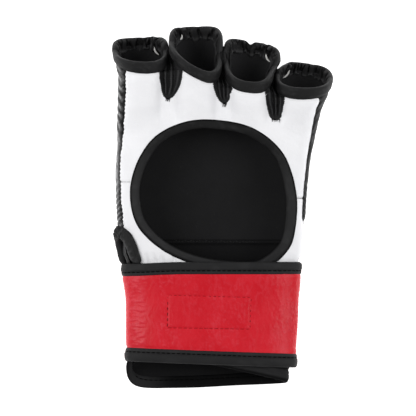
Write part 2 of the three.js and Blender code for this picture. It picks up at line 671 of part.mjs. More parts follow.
const tapeInner = strap.innerOffset;
const tapeOuter = strap.innerOffset + strap.tapeThickness;
const hideInner = tapeInner + strap.leatherInset;
const hideOuter = tapeOuter - strap.leatherInset;
const strapTop = (share) => strapEdge(strap.top, share);
const strapBottom = (share) => strapEdge(strap.bottom, share);
const endTape = 0.018; // share of the strap's length that the end tape covers
const leatherTop = (share) => strapTop(share) - tapeWidth - seamGap;
const leatherBottom = (share) => strapBottom(share) + tapeWidth + seamGap;
const topTapeInner = (share) => strapTop(share) - tapeWidth;
const bottomTapeInner = (share) => strapBottom(share) + tapeWidth;
const along = [0, 1 - endTape - 0.001];
strapBand('wrist_strap', 48, along, leatherBottom, leatherTop, [hideInner, hideOuter], 'red', 1);
strapBand('strap_top_tape', 48, [0, 1], topTapeInner, strapTop, [tapeInner, tapeOuter], 'tape', 2);
strapBand('strap_bottom_tape', 48, [0, 1], strapBottom, bottomTapeInner, [tapeInner, tapeOuter], 'tape', 1);
const overEnd = [1 - endTape, 1];
strapBand('strap_end_tape', 2, overEnd, leatherBottom, leatherTop, [tapeInner, tapeOuter], 'tape', 1);

addPiece('hook_patch', wall(8, 1, false, (i, j, skin) => {
  const degrees = THREE.MathUtils.lerp(hookPatch.fromAngle, hookPatch.toAngle, i / 8);
  const y = THREE.MathUtils.lerp(hookPatch.bottom, hookPatch.top, j);
  const offset = skin ? hookPatch.innerOffset : hookPatch.outerOffset;
  return sectionPoint(bodyBox(y), y, THREE.MathUtils.degToRad(degrees), evenInset(-offset));
}), 'lining');

// The origin is under the middle of the glove, on the surface that it lies on
glove.updateMatrixWorld(true);
const bounds = new THREE.Box3().setFromObject(glove);
const middle = bounds.getCenter(new THREE.Vector3());
hand.position.set(-middle.x, -middle.y, -bounds.min.z);

export default glove;
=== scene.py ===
import math

import bmesh
import bpy
import numpy as np
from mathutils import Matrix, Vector, noise
from mathutils.geometry import delaunay_2d_cdt


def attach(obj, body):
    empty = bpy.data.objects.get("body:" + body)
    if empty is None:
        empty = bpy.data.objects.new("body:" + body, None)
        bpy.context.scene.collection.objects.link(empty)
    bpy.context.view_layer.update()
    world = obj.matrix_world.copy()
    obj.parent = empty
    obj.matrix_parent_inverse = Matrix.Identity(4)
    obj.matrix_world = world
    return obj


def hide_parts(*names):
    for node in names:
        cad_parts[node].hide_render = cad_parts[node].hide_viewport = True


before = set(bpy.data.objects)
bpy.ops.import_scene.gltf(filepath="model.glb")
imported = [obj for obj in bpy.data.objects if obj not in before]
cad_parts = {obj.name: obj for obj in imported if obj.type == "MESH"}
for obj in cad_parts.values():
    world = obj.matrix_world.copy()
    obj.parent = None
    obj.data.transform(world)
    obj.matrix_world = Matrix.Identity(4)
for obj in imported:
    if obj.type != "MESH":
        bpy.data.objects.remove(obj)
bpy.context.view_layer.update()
print("glove: frame loaded")

# The glove lies on its padded back, palm up: x across the hand, y along the fingers, z up.
# Sizes here are in millimetres and turn into metres where a mesh is made.
millimetre = 0.001
handOrigin = np.array([-0.442, 0.105, 0.0])  # where the hand form's own origin lies in the frame

hand = {
    "seamGap": 0.35,
    "bodyPower": 3.0,
    "fingerPower": 2.5,
    "shellSeam": 93.0,
    "fingerBase": 58.0,
    "bodyEnd": -46.5,
    "straightFrom": -92.5,  # below it the strap and the cuff keep one width
    "palmEnd": 62.0,
    "fingersBlend": (46, 66),  # where the palm's form turns into the fingers'
    "facingTop": -22.0,
    "valleyReach": 0.9,
    "tapeWidth": 8.0,
}

# silhouette, height and back padding at stations along y
handForm = {
    "y": [62, 50, 24, -2, -20, -30, -36, -44, -67, -91, -105, -120],
    "left": [-67.2, -67.6, -68.3, -67.6, -66.4, -65.4, -62.9, -61.2, -59.4, -59.3, -62.2, -61.8],
    "right": [64.2, 61.1, 56.2, 54.0, 53.4, 52.5, 50.0, 48.1, 47.2, 45.8, 44.5, 43.2],
    "back": [-1.2, -1.2, -1.2, -1.2, -0.6, 4.2, 7.1, 7.1, 7.0, 7.0, 7.0, 5.0],
    "palm": [48.4, 47.4, 44.6, 41.6, 39.4, 37.8, 36.2, 34.4, 33.6, 33.4, 33.2, 32.6],
    "pad": [18, 18, 15, 12.5, 11.4, 6.5, 3.5, 3.2, 3.1, 3, 3, 3],
}

# where the palm leather stops at the sides, and the thumb hole's lower lip in degrees
sideEdges = {
    "y": [96, 70, 50, 24, -2, -10.2, -13, -18, -25, -34, -47],
    "thumbEdge": [-64.5, -62.6, -63.4, -65.7, -64.9, -64.4, -63.4, -58.8, -54.7, -52.6, -51.2],
    "outerEdge": [69.5, 62.4, 58.3, 54.9, 52.9, 52.7, 52.6, 52.4, 51.6, 49.4, 46.0],
    "thumbLip": [93, 93, 93, 93, 93, 93, 97, 105, 109, 110, 112],
}

# lines that part the fingers, from the thumb's side to the outer side
fingerLines = {
    "y": [50, 62, 75, 85, 95, 105, 118],
    "line0": [-67.6, -67.2, -66.9, -67.3, -70.2, -71.4, -71.4],
    "line1": [-35.0, -34.9, -34.4, -33.8, -33.8, -34.3, -34.3],
    "line2": [1.8, 1.7, 1.3, 1.0, 0.8, 1.1, 1.6],
    "line3": [34.8, 34.6, 33.5, 34.1, 38.6, 39.5, 39.5],
    "line4": [61.1, 64.2, 70.9, 72.8, 72.6, 72.4, 72.4],
}


def namedRows(keys, *values):
    # a table as one dictionary a row
    return [dict(zip(keys.split(), row)) for row in values]


# where each finger's mouth opens on the palm and on the back, and how high it curls
fingers = namedRows(
    "name palmRim backRim palmSlant backSlant palmTop backRise corners",
    ("index", 93.7, 110.2, -0.04, 0.05, 55.0, 12.0, (5.0, 5.5)),
    ("middle", 90.3, 117.2, -0.46, 0.03, 57.0, 17.0, (4.3, 9.0)),
    ("ring", 80.9, 107.4, -0.12, -0.17, 55.0, 13.8, (7.0, 4.6)),
    ("little", 76.9, 93.4, -0.03, -0.1, 51.0, 8.6, (3.6, 3.2)),
)

# the gussets in plan, how far up between the tapes they reach, and their flat cuts in metres
gussets = namedRows(
    "name tipX tipY leftX rightX topY tipWidth bulge reach flat area",
    ("index_middle", -34.8, 69.4, -39.6, -25.6, 90.0, 1.6, 0.68, 104.0, (0.026, 0.044), 0.00083),
    ("middle_ring", 1.9, 66.4, -4.8, 6.6, 84.0, 1.6, 0.68, 104.0, (0.024, 0.046), 0.00076),
    ("ring_little", 35.0, 56.0, 28.6, 40.4, 80.0, 4.8, 0.95, 89.5, (0.024, 0.041), 0.00076),
)

# outer edge of the tape round the palm opening
palmOpening = {
    "x": [-6, 20.6, 39.3, 48.0, 49.0, 44.0, 27.8, 3, -21, -41, -55.4, -59.6, -55, -43.4, -25.6],
    "y": [56.4, 50.8, 35.6, 13.5, -8, -27.8, -40.5, -41.4, -36.8, -26.8, -11.5, 9, 28.5, 45.2, 54.4],
}

# middle line of the tape round the thumb hole: over the palm's edge, then round the side
thumbPalm = {
    "x": [-64.4, -61.4, -59.7, -58.2, -56.9, -55.5],
    "y": [-17.4, -20.2, -23.2, -26.8, -30.6, -34.8],
    "lift": [0.6, 0.8, 0.8, 0.8, 0.6, 0.2],
}
thumbSide = {
    "x": [-55.0, -57.2, -58.8, -59.8, -62.4, -64.4, -65.6, -66.6, -67.4, -66.8],
    "y": [-39.5, -43.1, -43.1, -40.0, -36.8, -31.5, -26.2, -21.4, -18.2, -16.4],
    "z": [28.4, 24.0, 18.0, 13.5, 12.5, 12.0, 12.0, 13.5, 18.0, 24.0],
}

strap = {
    "startAngle": 200.0,
    "endAngle": -215.0,
    "climbFrom": 112.0,
    "climbTo": 158.0,
    "topY": -36.0,
    "topPerX": 0.0,
    "bottomY": -102.9,
    "bottomPerX": -0.038,
    "halfWidth": 55,
    "middleX": -6,
    "layerStep": 4.0,
    "innerOffset": 0.45,
    "outerOffset": 2.95,
    "flare": 0.95,
    "lowerFlare": 0.6,
    "sag": 1.3,  # how far its top edge sinks at the thumb's side
    "endTape": 0.018,
    "topTape": 8.2,
    "bottomTape": 9.2,
}

cuff = {
    "palmY": -103.8,
    "palmPerX": -0.215,
    "backY": -117.1,
    "backPerX": 0.035,
    "backBow": 0.55,
    "bowAt": (-14, 20),  # its middle along x, and how far it reaches each way
    "halfWidth": 52,
    "middleX": -7,
    "tape": 8.0,
    "wall": 3.0,
}


def stacked(*parts):
    # coordinates as points, each spread to one shape
    return np.stack(np.broadcast_arrays(*parts), axis=-1)


def ease(value, low, high):
    t = np.clip((np.asarray(value, float) - low) / (high - low), 0, 1)
    return t * t * (3 - 2 * t)


def mix(a, b, t):
    return a + (np.asarray(b) - a) * t


def columnCurve(table, column):
    # smooth value of a table's column at y, with no overshoot between its rows
    order = np.argsort(table["y"])
    ys = np.array(table["y"], float)[order]
    values = np.array(table[column], float)[order]
    slopes = np.diff(values) / np.diff(ys)
    before, after = slopes[:-1], slopes[1:]
    turning = before * after <= 0
    inner = np.where(turning, 0, 2 * before * after / np.where(turning, 1, before + after))
    tangents = np.concatenate([slopes[:1], inner, slopes[-1:]])

    def valueAt(y):
        at = np.clip(y, ys[0], ys[-1])
        i = np.clip(np.searchsorted(ys, at, side="right") - 1, 0, len(ys) - 2)
        span = ys[i + 1] - ys[i]
        t = (at - ys[i]) / span
        rise = t * t * (3 - 2 * t)
        bend = tangents[i] * t * (1 - t) ** 2 - tangents[i + 1] * t * t * (1 - t)
        return values[i] * (1 - rise) + values[i + 1] * rise + span * bend

    return valueAt


form = {name: columnCurve(handForm, name) for name in ("left", "right", "back", "palm", "pad")}
edges = {name: columnCurve(sideEdges, name) for name in ("thumbEdge", "outerEdge", "thumbLip")}
partings = [columnCurve(fingerLines, f"line{i}") for i in range(5)]


def roundedSquare(angle, power):
    across, up = np.sin(angle), np.cos(angle)
    reach = (np.abs(across) ** power + np.abs(up) ** power) ** (-1 / power)
    return across * reach, up * reach


def squareHeight(across, power):
    return np.maximum(0, 1 - np.abs(across) ** power) ** (1 / power)


def squareAngle(across, power):
    return np.arctan2(across, squareHeight(across, power))


def fingerBox(index, y):
    finger = fingers[index]
    along = np.clip((y - 50) / (finger["palmRim"] - 50), 0, 1.6)
    curl = np.maximum(0, (y - 52) / (finger["backRim"] - 52))
    return {
        "left": partings[index](y) + hand["seamGap"] / 2,
        "right": partings[index + 1](y) - hand["seamGap"] / 2,
        "back": finger["backRise"] * curl ** 1.7,
        "palm": 47.4 + (finger["palmTop"] - 47.4) * along,
        "power": hand["fingerPower"],
    }


def bodyBox(y):
    box = {name: form[name](y) for name in ("left", "right", "back", "palm")}
    box["power"] = hand["bodyPower"]
    return box


def sectionPoint(box, y, angle, side=0.0, palm=None, back=None):
    # a point of a cross-section, taken in from its skin; palm and back are like side unless told
    palm, back = side if palm is None else palm, side if back is None else back
    across, up = roundedSquare(angle, box["power"])
    left, right = box["left"] + side, box["right"] - side
    low, high = box["back"] + back, box["palm"] - palm
    x = (left + right) / 2 + (right - left) / 2 * across
    z = (low + high) / 2 + (high - low) / 2 * up
    return stacked(x, y, z).astype(float)


def acrossBox(box, x, reach):
    # -1 at a box's left wall, 1 at its right wall, kept within a reach
    return np.clip((2 * x - box["left"] - box["right"]) / (box["right"] - box["left"]), -reach, reach)


def edgeAngle(box, x, reach=0.999):
    return squareAngle(acrossBox(box, x, reach), box["power"])


def boxSurface(box, x, sign, reach=1.0):
    height = squareHeight(acrossBox(box, x, reach), box["power"])
    return (box["back"] + box["palm"]) / 2 + sign * (box["palm"] - box["back"]) / 2 * height


def gloveHeight(x, y, sign=1):
    # height of the glove's palm side (sign 1) or back side (sign -1) over a plan point
    x, y = np.broadcast_arrays(np.asarray(x, float), np.asarray(y, float))
    body = boxSurface(bodyBox(np.minimum(y, hand["palmEnd"])), x, sign)
    share = ease(y, *hand["fingersBlend"]) if sign > 0 else ease(y, 30, hand["fingerBase"])
    for index in range(4):
        height = boxSurface(fingerBox(index, y), x, sign, hand["valleyReach"])
        onFinger = np.where(x >= partings[index](y), height, onFinger) if index else height
    return mix(body, onFinger, share)


valleyFill = {
    "shifts": (-9, -6, -3, 0, 3, 6, 9),  # the height is levelled over these steps across
    "below": 2,
    "above": 15,  # how far past a gusset's tip the filling fades
    "from": (40, 50),
    "sides": (60, 62, 9),  # the glove's sides, and how far in from them it fades
}


def leatherHeight(x, y):
    # the palm side with the valleys between the fingers filled below the gussets' tips
    x, y = np.broadcast_arrays(np.asarray(x, float), np.asarray(y, float))
    shifts = valleyFill["shifts"]
    level = sum(gloveHeight(x + shift, y) for shift in shifts) / len(shifts)
    tips = [gusset["tipY"] for gusset in gussets]
    tip = np.where(x < -16, tips[0], np.where(x < 19, tips[1], tips[2]))
    left, right, fade = valleyFill["sides"]
    away = ease(np.minimum(x + left, right - x), 0, fade)
    top = 1 - ease(y, tip - valleyFill["below"], tip + valleyFill["above"])
    filled = top * away * ease(y, *valleyFill["from"])
    return mix(gloveHeight(x, y), np.maximum(level, gloveHeight(x, y)), filled)


def palmNormal(x, y, height=gloveHeight, step=0.4):
    slopeX = (height(x + step, y) - height(x - step, y)) / (2 * step)
    slopeY = (height(x, y + step) - height(x, y - step)) / (2 * step)
    normal = stacked(-slopeX, -slopeY, np.ones_like(slopeX))
    return normal / np.linalg.norm(normal, axis=-1, keepdims=True)


def mouthY(index, angle):
    # how far along y a finger's wall reaches at an angle round it
    finger = fingers[index]
    box = fingerBox(index, finger["palmRim"])
    across, up = roundedSquare(angle, hand["fingerPower"])
    middle = (finger["palmRim"] + finger["backRim"]) / 2
    half = (finger["backRim"] - finger["palmRim"]) / 2
    corner = np.where(across < 0, finger["corners"][0], finger["corners"][1])
    rim = np.where(up < 0, -squareHeight(across, corner), up)
    slant = mix(finger["backSlant"], finger["palmSlant"], (1 + up) / 2)
    return middle - half * rim + slant * across * (box["right"] - box["left"]) / 2


def lobeEdge(index, x):
    # the lower edge of a finger's tape over the white leather
    box = fingerBox(index, fingers[index]["palmRim"])
    return mouthY(index, edgeAngle(box, x, 0.82)) - hand["tapeWidth"]


def noiseAt(points, scale, seed, octaves=2):
    # smooth noise from -1 to 1 at points in millimetres; scale is the size of its lumps
    offset = Vector((seed * 17.3, seed * 5.1, seed * 9.7))
    flat = np.asarray(points, float).reshape(-1, 3) / scale
    values = [noise.fractal(Vector(p) + offset, 1.0, 2.0, octaves) for p in flat]
    return np.array(values).reshape(np.asarray(points).shape[:-1])


def unit(vectors):
    return vectors / np.maximum(np.linalg.norm(vectors, axis=-1, keepdims=True), 1e-9)


def facing(vectors, way):
    # the vectors, turned about where they point away from a way
    return np.where((vectors * way).sum(axis=1, keepdims=True) < 0, -vectors, vectors)


def makeMesh(name, points, faces, looks=None, crests=None):
    # an object of its own from points in the hand's millimetres; crests say how much painted highlight
    # and sheen each point takes
    placed = (np.asarray(points, float).reshape(-1, 3) + handOrigin) * millimetre
    mesh = bpy.data.meshes.new(name)
    mesh.from_pydata(placed.tolist(), [], [list(map(int, face)) for face in faces])
    if looks is not None:
        mesh.polygons.foreach_set("material_index", np.asarray(looks, np.int32))
    shell = bmesh.new()
    shell.from_mesh(mesh)
    bmesh.ops.recalc_face_normals(shell, faces=shell.faces)
    shell.to_mesh(mesh)
    shell.free()
    mesh.shade_smooth()
    mesh.update()
    if crests is not None:
        worn = np.broadcast_to(crests, np.shape(points)[:-1]).ravel()
        layer = mesh.attributes.new("crest", "FLOAT", "POINT")
        layer.data.foreach_set("value", np.clip(worn, 0, 1).astype(np.float32))
    piece = bpy.data.objects.new(name, mesh)
    bpy.context.scene.collection.objects.link(piece)
    return piece


def gridFaces(columns, rows, wrapColumns, wrapRows, start=0):
    # quads over a grid of points, column by column
    i = np.arange(columns if wrapColumns else columns - 1)
    j = np.arange(rows if wrapRows else rows - 1)
    i, j = np.meshgrid(i, j, indexing="ij")
    i, j = i.ravel(), j.ravel()
    nextI, nextJ = (i + 1) % columns, (j + 1) % rows
    quad = stacked(i * rows + j, nextI * rows + j, nextI * rows + nextJ, i * rows + nextJ)
    return quad + start


def ringSection(count, power):
    # a rounded rectangle's outline, as shares across its width and through its depth
    across, up = roundedSquare(np.linspace(0, 2 * math.pi, count, endpoint=False), power)
    return 0.5 + 0.5 * across, 0.5 - 0.5 * up


def carried(place, s, *section):
    # a section's points at each station, and how worn they are where place tells it
    made = place(s[:, None], *(part[None, :] for part in section))
    return made if isinstance(made, tuple) else (made, None)


def loftBand(name, stations, section, place, closed=True, looks=None):
    # a closed solid: the section's outline carried along a path by place(s, a, d)
    s = np.linspace(0, 1, stations, endpoint=not closed)
    points, crests = carried(place, s, *section)
    count = len(section[0])
    faces = gridFaces(stations, count, closed, True).tolist()
    if not closed:
        last = (stations - 1) * count
        faces += [list(range(count))[::-1], [last + k for k in range(count)]]
    return makeMesh(name, points, faces, looks, crests)


def wallSection(along, cap):
    # the outline of a thin wall: out along one skin, round its end, back along the other and round again
    ends = 0.5 - 0.5 * np.cos(np.linspace(0, math.pi, cap + 2)[1:-1])
    bulge = np.sin(np.linspace(0, math.pi, cap + 2)[1:-1])
    run = np.linspace(0, 1, along)
    a = np.concatenate([run, np.ones(cap), run[::-1], np.zeros(cap)])
    d = np.concatenate([np.zeros(along), ends, np.ones(along), ends[::-1]])
    over = np.concatenate([np.zeros(along), bulge, np.zeros(along), -bulge])
    return a, d, over


def loftWall(name, stations, along, cap, place, closed=True, innerFinish=False):
    # a thin wall from place(s, a, d, over), where over is how far its rounded rims stand out
    a, d, over = wallSection(along, cap)
    s = np.linspace(0, 1, stations, endpoint=not closed)
    points, crests = carried(place, s, a, d, over)
    faces = gridFaces(stations, len(a), closed, True).tolist()
    if not closed:
        inner = 2 * along + cap - 1  # the inner skin's point that faces the outer skin's first
        for base in (0, (stations - 1) * len(a)):
            far = base + inner
            faces += [[base + k, base + k + 1, far - k - 1, far - k] for k in range(along - 1)]
            faces.append([base + along - 1 + k for k in range(cap + 2)])
            faces.append([far + k for k in range(cap + 1)] + [base])
    looks = None
    if innerFinish:  # the inner skin takes the piece's second material
        looks = [int(sum(d[f % len(a)] > 0.5 for f in face) * 2 > len(face)) for face in faces]
    return makeMesh(name, points, faces, looks, crests)


def dress(piece, finishes, slotName, *nodes):
    # gives a piece its materials and the nodes that it stands for; its slot name is not used
    for material in finishes if isinstance(finishes, list) else [finishes]:
        piece.data.materials.append(material)
    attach(piece, "root")
    if nodes:
        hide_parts(*nodes)
    return piece


def addNode(tree, kind, values, **settings):
    node = tree.nodes.new("ShaderNode" + kind)
    for key, value in settings.items():
        setattr(node, key, value)
    for key, value in values.items():
        if isinstance(value, bpy.types.NodeSocket):
            tree.links.new(value, node.inputs[key])
        else:
            node.inputs[key].default_value = value
    return node


def calc(tree, operation, a, b=0.0):
    return addNode(tree, "Math", {0: a, 1: b}, operation=operation).outputs[0]


def times(tree, a, b):
    return calc(tree, "MULTIPLY", a, b)


def vectorCalc(tree, operation, a, b, slot=1):
    return addNode(tree, "VectorMath", {0: a, slot: b}, operation=operation).outputs[0]


def ramp(tree, value, low, high, toLow=0.0, toHigh=1.0):
    ends = {"Value": value, "From Min": low, "From Max": high, "To Min": toLow, "To Max": toHigh}
    return addNode(tree, "MapRange", ends, interpolation_type="SMOOTHSTEP").outputs[0]


def blendColour(tree, factor, a, b):
    return addNode(tree, "Mix", {0: factor, 6: a, 7: b}, data_type="RGBA").outputs[2]


def noiseNode(tree, vector, scale, detail=2.0, roughness=0.5, output=0):
    values = {"Vector": vector, "Scale": scale, "Detail": detail, "Roughness": roughness}
    return addNode(tree, "TexNoise", values).outputs[output]


def makeGroup(name, inputs, build):
    # a shader node group with named inputs; build(tree, given) returns its outputs by name
    tree = bpy.data.node_groups.new(name, "ShaderNodeTree")
    for label, value in {"Vector": (0, 0, 0), **inputs}.items():
        kind = {3: "Vector", 4: "Color"}[len(value)] if isinstance(value, tuple) else "Float"
        socket = tree.interface.new_socket(label, in_out="INPUT", socket_type="NodeSocket" + kind)
        socket.default_value = value
    made = build(tree, tree.nodes.new("NodeGroupInput").outputs)
    for label in made:
        kind = "Color" if label == "Color" else "Float"
        tree.interface.new_socket(label, in_out="OUTPUT", socket_type="NodeSocket" + kind)
    result = tree.nodes.new("NodeGroupOutput").inputs
    for label, value in made.items():
        tree.links.new(value, result[label])
    return tree


def useGroup(tree, group, *values):
    # a group's outputs, from values in the order of its inputs
    return addNode(tree, "Group", dict(enumerate(values)), node_tree=group).outputs


def buildGrain(tree, given):
    # small rounded cells with fine noise on them
    scale = calc(tree, "DIVIDE", 1000.0, given["Cell Size mm"])
    values = {"Vector": given["Vector"], "Scale": scale}
    cells = addNode(tree, "TexVoronoi", values, feature="DISTANCE_TO_EDGE").outputs["Distance"]
    fine = noiseNode(tree, given["Vector"], times(tree, scale, 3.0))
    pebble = times(tree, ramp(tree, cells, 0.0, 0.32), 0.75)
    height = calc(tree, "ADD", pebble, times(tree, fine, 0.25))
    return {"Height": height, "Pores": ramp(tree, cells, 0.0, 0.09, 1.0, 0.0)}


def buildCreases(tree, given):
    # warped ridges of noise, drawn out along one direction and gathered in patches
    vector = given["Vector"]
    warp = noiseNode(tree, vector, 90.0, output="Color")
    centred = vectorCalc(tree, "SUBTRACT", warp, (0.5, 0.5, 0.5))
    shift = vectorCalc(tree, "SCALE", centred, times(tree, given["Warp mm"], 0.002), "Scale")
    drawn = vectorCalc(tree, "MULTIPLY", vectorCalc(tree, "ADD", vector, shift), given["Stretch"])
    lines = noiseNode(tree, drawn, calc(tree, "DIVIDE", 1000.0, given["Spacing mm"]), 3.0, 0.6)
    fold = calc(tree, "ABSOLUTE", calc(tree, "SUBTRACT", lines, 0.5))
    patches = ramp(tree, noiseNode(tree, vector, 45.0, 1.0), 0.42, 0.6)
    crest = times(tree, ramp(tree, fold, 0.0, 0.055, 1.0, 0.0), patches)
    return {"Height": ramp(tree, fold, 0.0, 0.15, 1.0, 0.0), "Crest": crest}


def buildWeave(tree, given):
    # plain weave: two sets of threads that cross, one set up where the other is down
    parts = addNode(tree, "SeparateXYZ", {"Vector": given["Vector"]}).outputs
    turns = calc(tree, "DIVIDE", 1000.0 * math.pi, given["Thread mm"])
    sets = []
    for part, slant in ((parts[0], 0.9), (parts[1], 0.4)):
        leaning = calc(tree, "ADD", part, times(tree, parts[2], slant))
        sets.append(calc(tree, "SINE", times(tree, leaning, turns)))
    checks = times(tree, *sets)
    fuzz = times(tree, noiseNode(tree, given["Vector"], 2600.0), 0.2)
    height = calc(tree, "ADD", times(tree, ramp(tree, checks, -1.0, 1.0), 0.8), fuzz)
    return {"Height": height, "Thread": ramp(tree, calc(tree, "ABSOLUTE", checks), 0.0, 0.5)}


def tinted(tree, given, other, mask):
    # the colour turned into another one where the mask is high
    factor = times(tree, mask, given["Amount"])
    return {"Color": blendColour(tree, factor, given["Color"], given[other]), "Mask": mask}


def buildMottle(tree, given):
    # slow change of a colour over a surface, with a mask for its roughness
    scale = calc(tree, "DIVIDE", 1000.0, given["Patch mm"])
    patches = noiseNode(tree, given["Vector"], scale, 4.0, 0.55)
    return tinted(tree, given, "Other Color", ramp(tree, patches, 0.32, 0.68))


def buildWearAndSheen(tree, given):
    # painted highlights and sheen where the mesh's own crest value is high, and wear on its sharp outer
    # edges
    crest = addNode(tree, "Attribute", {}, attribute_name="crest").outputs["Fac"]
    edge = ramp(tree, addNode(tree, "NewGeometry", {}).outputs["Pointiness"], 0.52, 0.6)
    broken = ramp(tree, noiseNode(tree, given["Vector"], 700.0, 3.0), 0.35, 0.65, 0.15, 0.6)
    mask = calc(tree, "MINIMUM", calc(tree, "ADD", crest, times(tree, edge, broken)), 1.0)
    return tinted(tree, given, "Sheen And Wear Color", mask)


def buildLint(tree, given):
    # a little dust and short lint, on what faces up
    drawn = vectorCalc(tree, "MULTIPLY", given["Vector"], (1.0, 0.22, 1.0))
    fibres = ramp(tree, noiseNode(tree, drawn, 1500.0, 1.0), 0.7, 0.78)
    film = times(tree, noiseNode(tree, given["Vector"], 120.0, 3.0), 0.3)
    normal = addNode(tree, "NewGeometry", {}).outputs["Normal"]
    rising = addNode(tree, "SeparateXYZ", {"Vector": normal}).outputs[2]
    mask = times(tree, calc(tree, "ADD", fibres, film), ramp(tree, rising, -0.1, 0.8))
    return tinted(tree, given, "Lint Color", mask)


grey = (0.5, 0.5, 0.5, 1)
creaseInputs = {"Spacing mm": 9.0, "Stretch": (1, 1, 1), "Warp mm": 2.0}
grainGroup = makeGroup("leather_grain", {"Cell Size mm": 0.9}, buildGrain)
creaseGroup = makeGroup("fine_creases", creaseInputs, buildCreases)
weaveGroup = makeGroup("cloth_weave", {"Thread mm": 0.45}, buildWeave)
mottleInputs = {"Color": grey, "Other Color": grey, "Patch mm": 22.0, "Amount": 1.0}
mottleGroup = makeGroup("mottle", mottleInputs, buildMottle)
wearAndSheenGroup = makeGroup("crest_wear_and_sheen", {"Color": grey, "Sheen And Wear Color": grey, "Amount": 0.5}, buildWearAndSheen)
lintGroup = makeGroup("lint", {"Color": grey, "Lint Color": grey, "Amount": 0.3}, buildLint)


def leather(tree, look, vector, colour):
    grain = useGroup(tree, grainGroup, vector, look["grain"])
    creased = useGroup(tree, creaseGroup, vector, look["creaseSpacing"], look["creaseStretch"], 3.0)
    worn = (*look["worn"], 1)
    # the tops of the creases turn to the lighter colour: a painted sheen
    colour = blendColour(tree, times(tree, creased["Crest"], look["streaks"]), colour, worn)
    colour = useGroup(tree, wearAndSheenGroup, vector, colour, worn, look["wear"])["Color"]
    pores = times(tree, grain["Pores"], look["poreShade"])
    colour = blendColour(tree, pores, colour, (*look["poreColor"], 1))
    return colour, [(grain["Height"], look["grainDepth"]), (creased["Height"], look["creaseDepth"])]


def cloth(tree, look, vector, colour):
    woven = useGroup(tree, weaveGroup, vector, look["thread"])
    between = times(tree, calc(tree, "SUBTRACT", 1.0, woven["Thread"]), look["threadShade"])
    colour = blendColour(tree, between, colour, (0.002, 0.002, 0.002, 1))
    colour = useGroup(tree, wearAndSheenGroup, vector, colour, (*look["worn"], 1), look["wear"])["Color"]
    colour = useGroup(tree, lintGroup, vector, colour, (*look["lint"], 1), look["lintAmount"])["Color"]
    return colour, [(woven["Height"], look["weaveDepth"])]


def makeFinish(name, surface, look, **changes):
    # a material from a look: a mottled colour, what its surface adds to it, and its bumps
    look = {**look, **changes}
    material = bpy.data.materials.new(name)
    material.use_nodes = True
    tree = material.node_tree
    tree.nodes.clear()
    shader = tree.nodes.new("ShaderNodeBsdfPrincipled")
    shader.inputs["Specular IOR Level"].default_value = look["specular"]
    tree.links.new(shader.outputs[0], tree.nodes.new("ShaderNodeOutputMaterial").inputs["Surface"])
    vector = addNode(tree, "TexCoord", {}).outputs["Object"]
    colours = (*look["color"], 1), (*look["otherColor"], 1)
    mottled = useGroup(tree, mottleGroup, vector, *colours, look["patch"], 1.0)
    colour, bumps = surface(tree, look, vector, mottled["Color"])
    tree.links.new(colour, shader.inputs["Base Color"])
    tree.links.new(ramp(tree, mottled["Mask"], 0.0, 1.0, *look["roughness"]), shader.inputs["Roughness"])
    below = {}
    for height, depth in bumps:
        values = {"Height": height, "Distance": depth * millimetre, "Strength": 1.0, **below}
        below = {"Normal": addNode(tree, "Bump", values).outputs[0]}
    tree.links.new(below["Normal"], shader.inputs["Normal"])
    return material


# Looks of the finishes: colours are linear, sizes are in millimetres. The colour laid on crests is
# painted highlight and sheen, and wear on sharp edges
whiteLook = {
    "color": (0.82, 0.82, 0.84),
    "otherColor": (0.785, 0.785, 0.805),
    "worn": (0.87, 0.87, 0.88),
    "poreColor": (0.62, 0.62, 0.63),
    "patch": 26.0,
    "specular": 0.3,
    "roughness": (0.42, 0.54),
    "grain": 0.8,
    "grainDepth": 0.03,
    "poreShade": 0.12,
    "creaseSpacing": 24.0,
    "creaseStretch": (1.0, 1.3, 1.0),
    "creaseDepth": 0.12,
    "streaks": 0.1,
    "wear": 0.3,
}
redLook = {
    "color": (0.53, 0.006, 0.015),
    "otherColor": (0.57, 0.009, 0.020),
    "worn": (0.62, 0.05, 0.075),
    "poreColor": (0.38, 0.005, 0.010),
    "patch": 18.0,
    "specular": 0.18,
    "roughness": (0.34, 0.44),
    "grain": 0.75,
    "grainDepth": 0.03,
    "poreShade": 0.22,
    "creaseSpacing": 11.0,
    "creaseStretch": (1.5, 0.55, 1.0),
    "creaseDepth": 0.10,
    "streaks": 0.22,
    "wear": 0.6,
}
blackLook = {
    "color": (0.008, 0.008, 0.0085),
    "otherColor": (0.011, 0.011, 0.012),
    "worn": (0.035, 0.035, 0.037),
    "poreColor": (0.003, 0.003, 0.003),
    "patch": 20.0,
    "specular": 0.4,
    "roughness": (0.40, 0.52),
    "grain": 0.95,
    "grainDepth": 0.05,
    "poreShade": 0.5,
    "creaseSpacing": 16.0,
    "creaseStretch": (1.0, 1.0, 1.0),
    "creaseDepth": 0.16,
    "streaks": 0.15,
    "wear": 0.5,
}
rolledLook = {
    **blackLook,
    "color": (0.0018, 0.0018, 0.002),
    "otherColor": (0.003, 0.003, 0.0032),
    "worn": (0.55, 0.55, 0.56),
    "specular": 0.12,
    "roughness": (0.32, 0.40),
    "wear": 0.85,
}
tapeLook = {
    "color": (0.0085, 0.0085, 0.009),
    "otherColor": (0.0105, 0.0105, 0.011),
    "worn": (0.058, 0.058, 0.06),
    "lint": (0.16, 0.16, 0.16),
    "lintAmount": 0.05,
    "patch": 12.0,
    "specular": 0.15,
    "roughness": (0.55, 0.66),
    "thread": 0.42,
    "threadShade": 0.35,
    "weaveDepth": 0.05,
    "wear": 0.5,
}
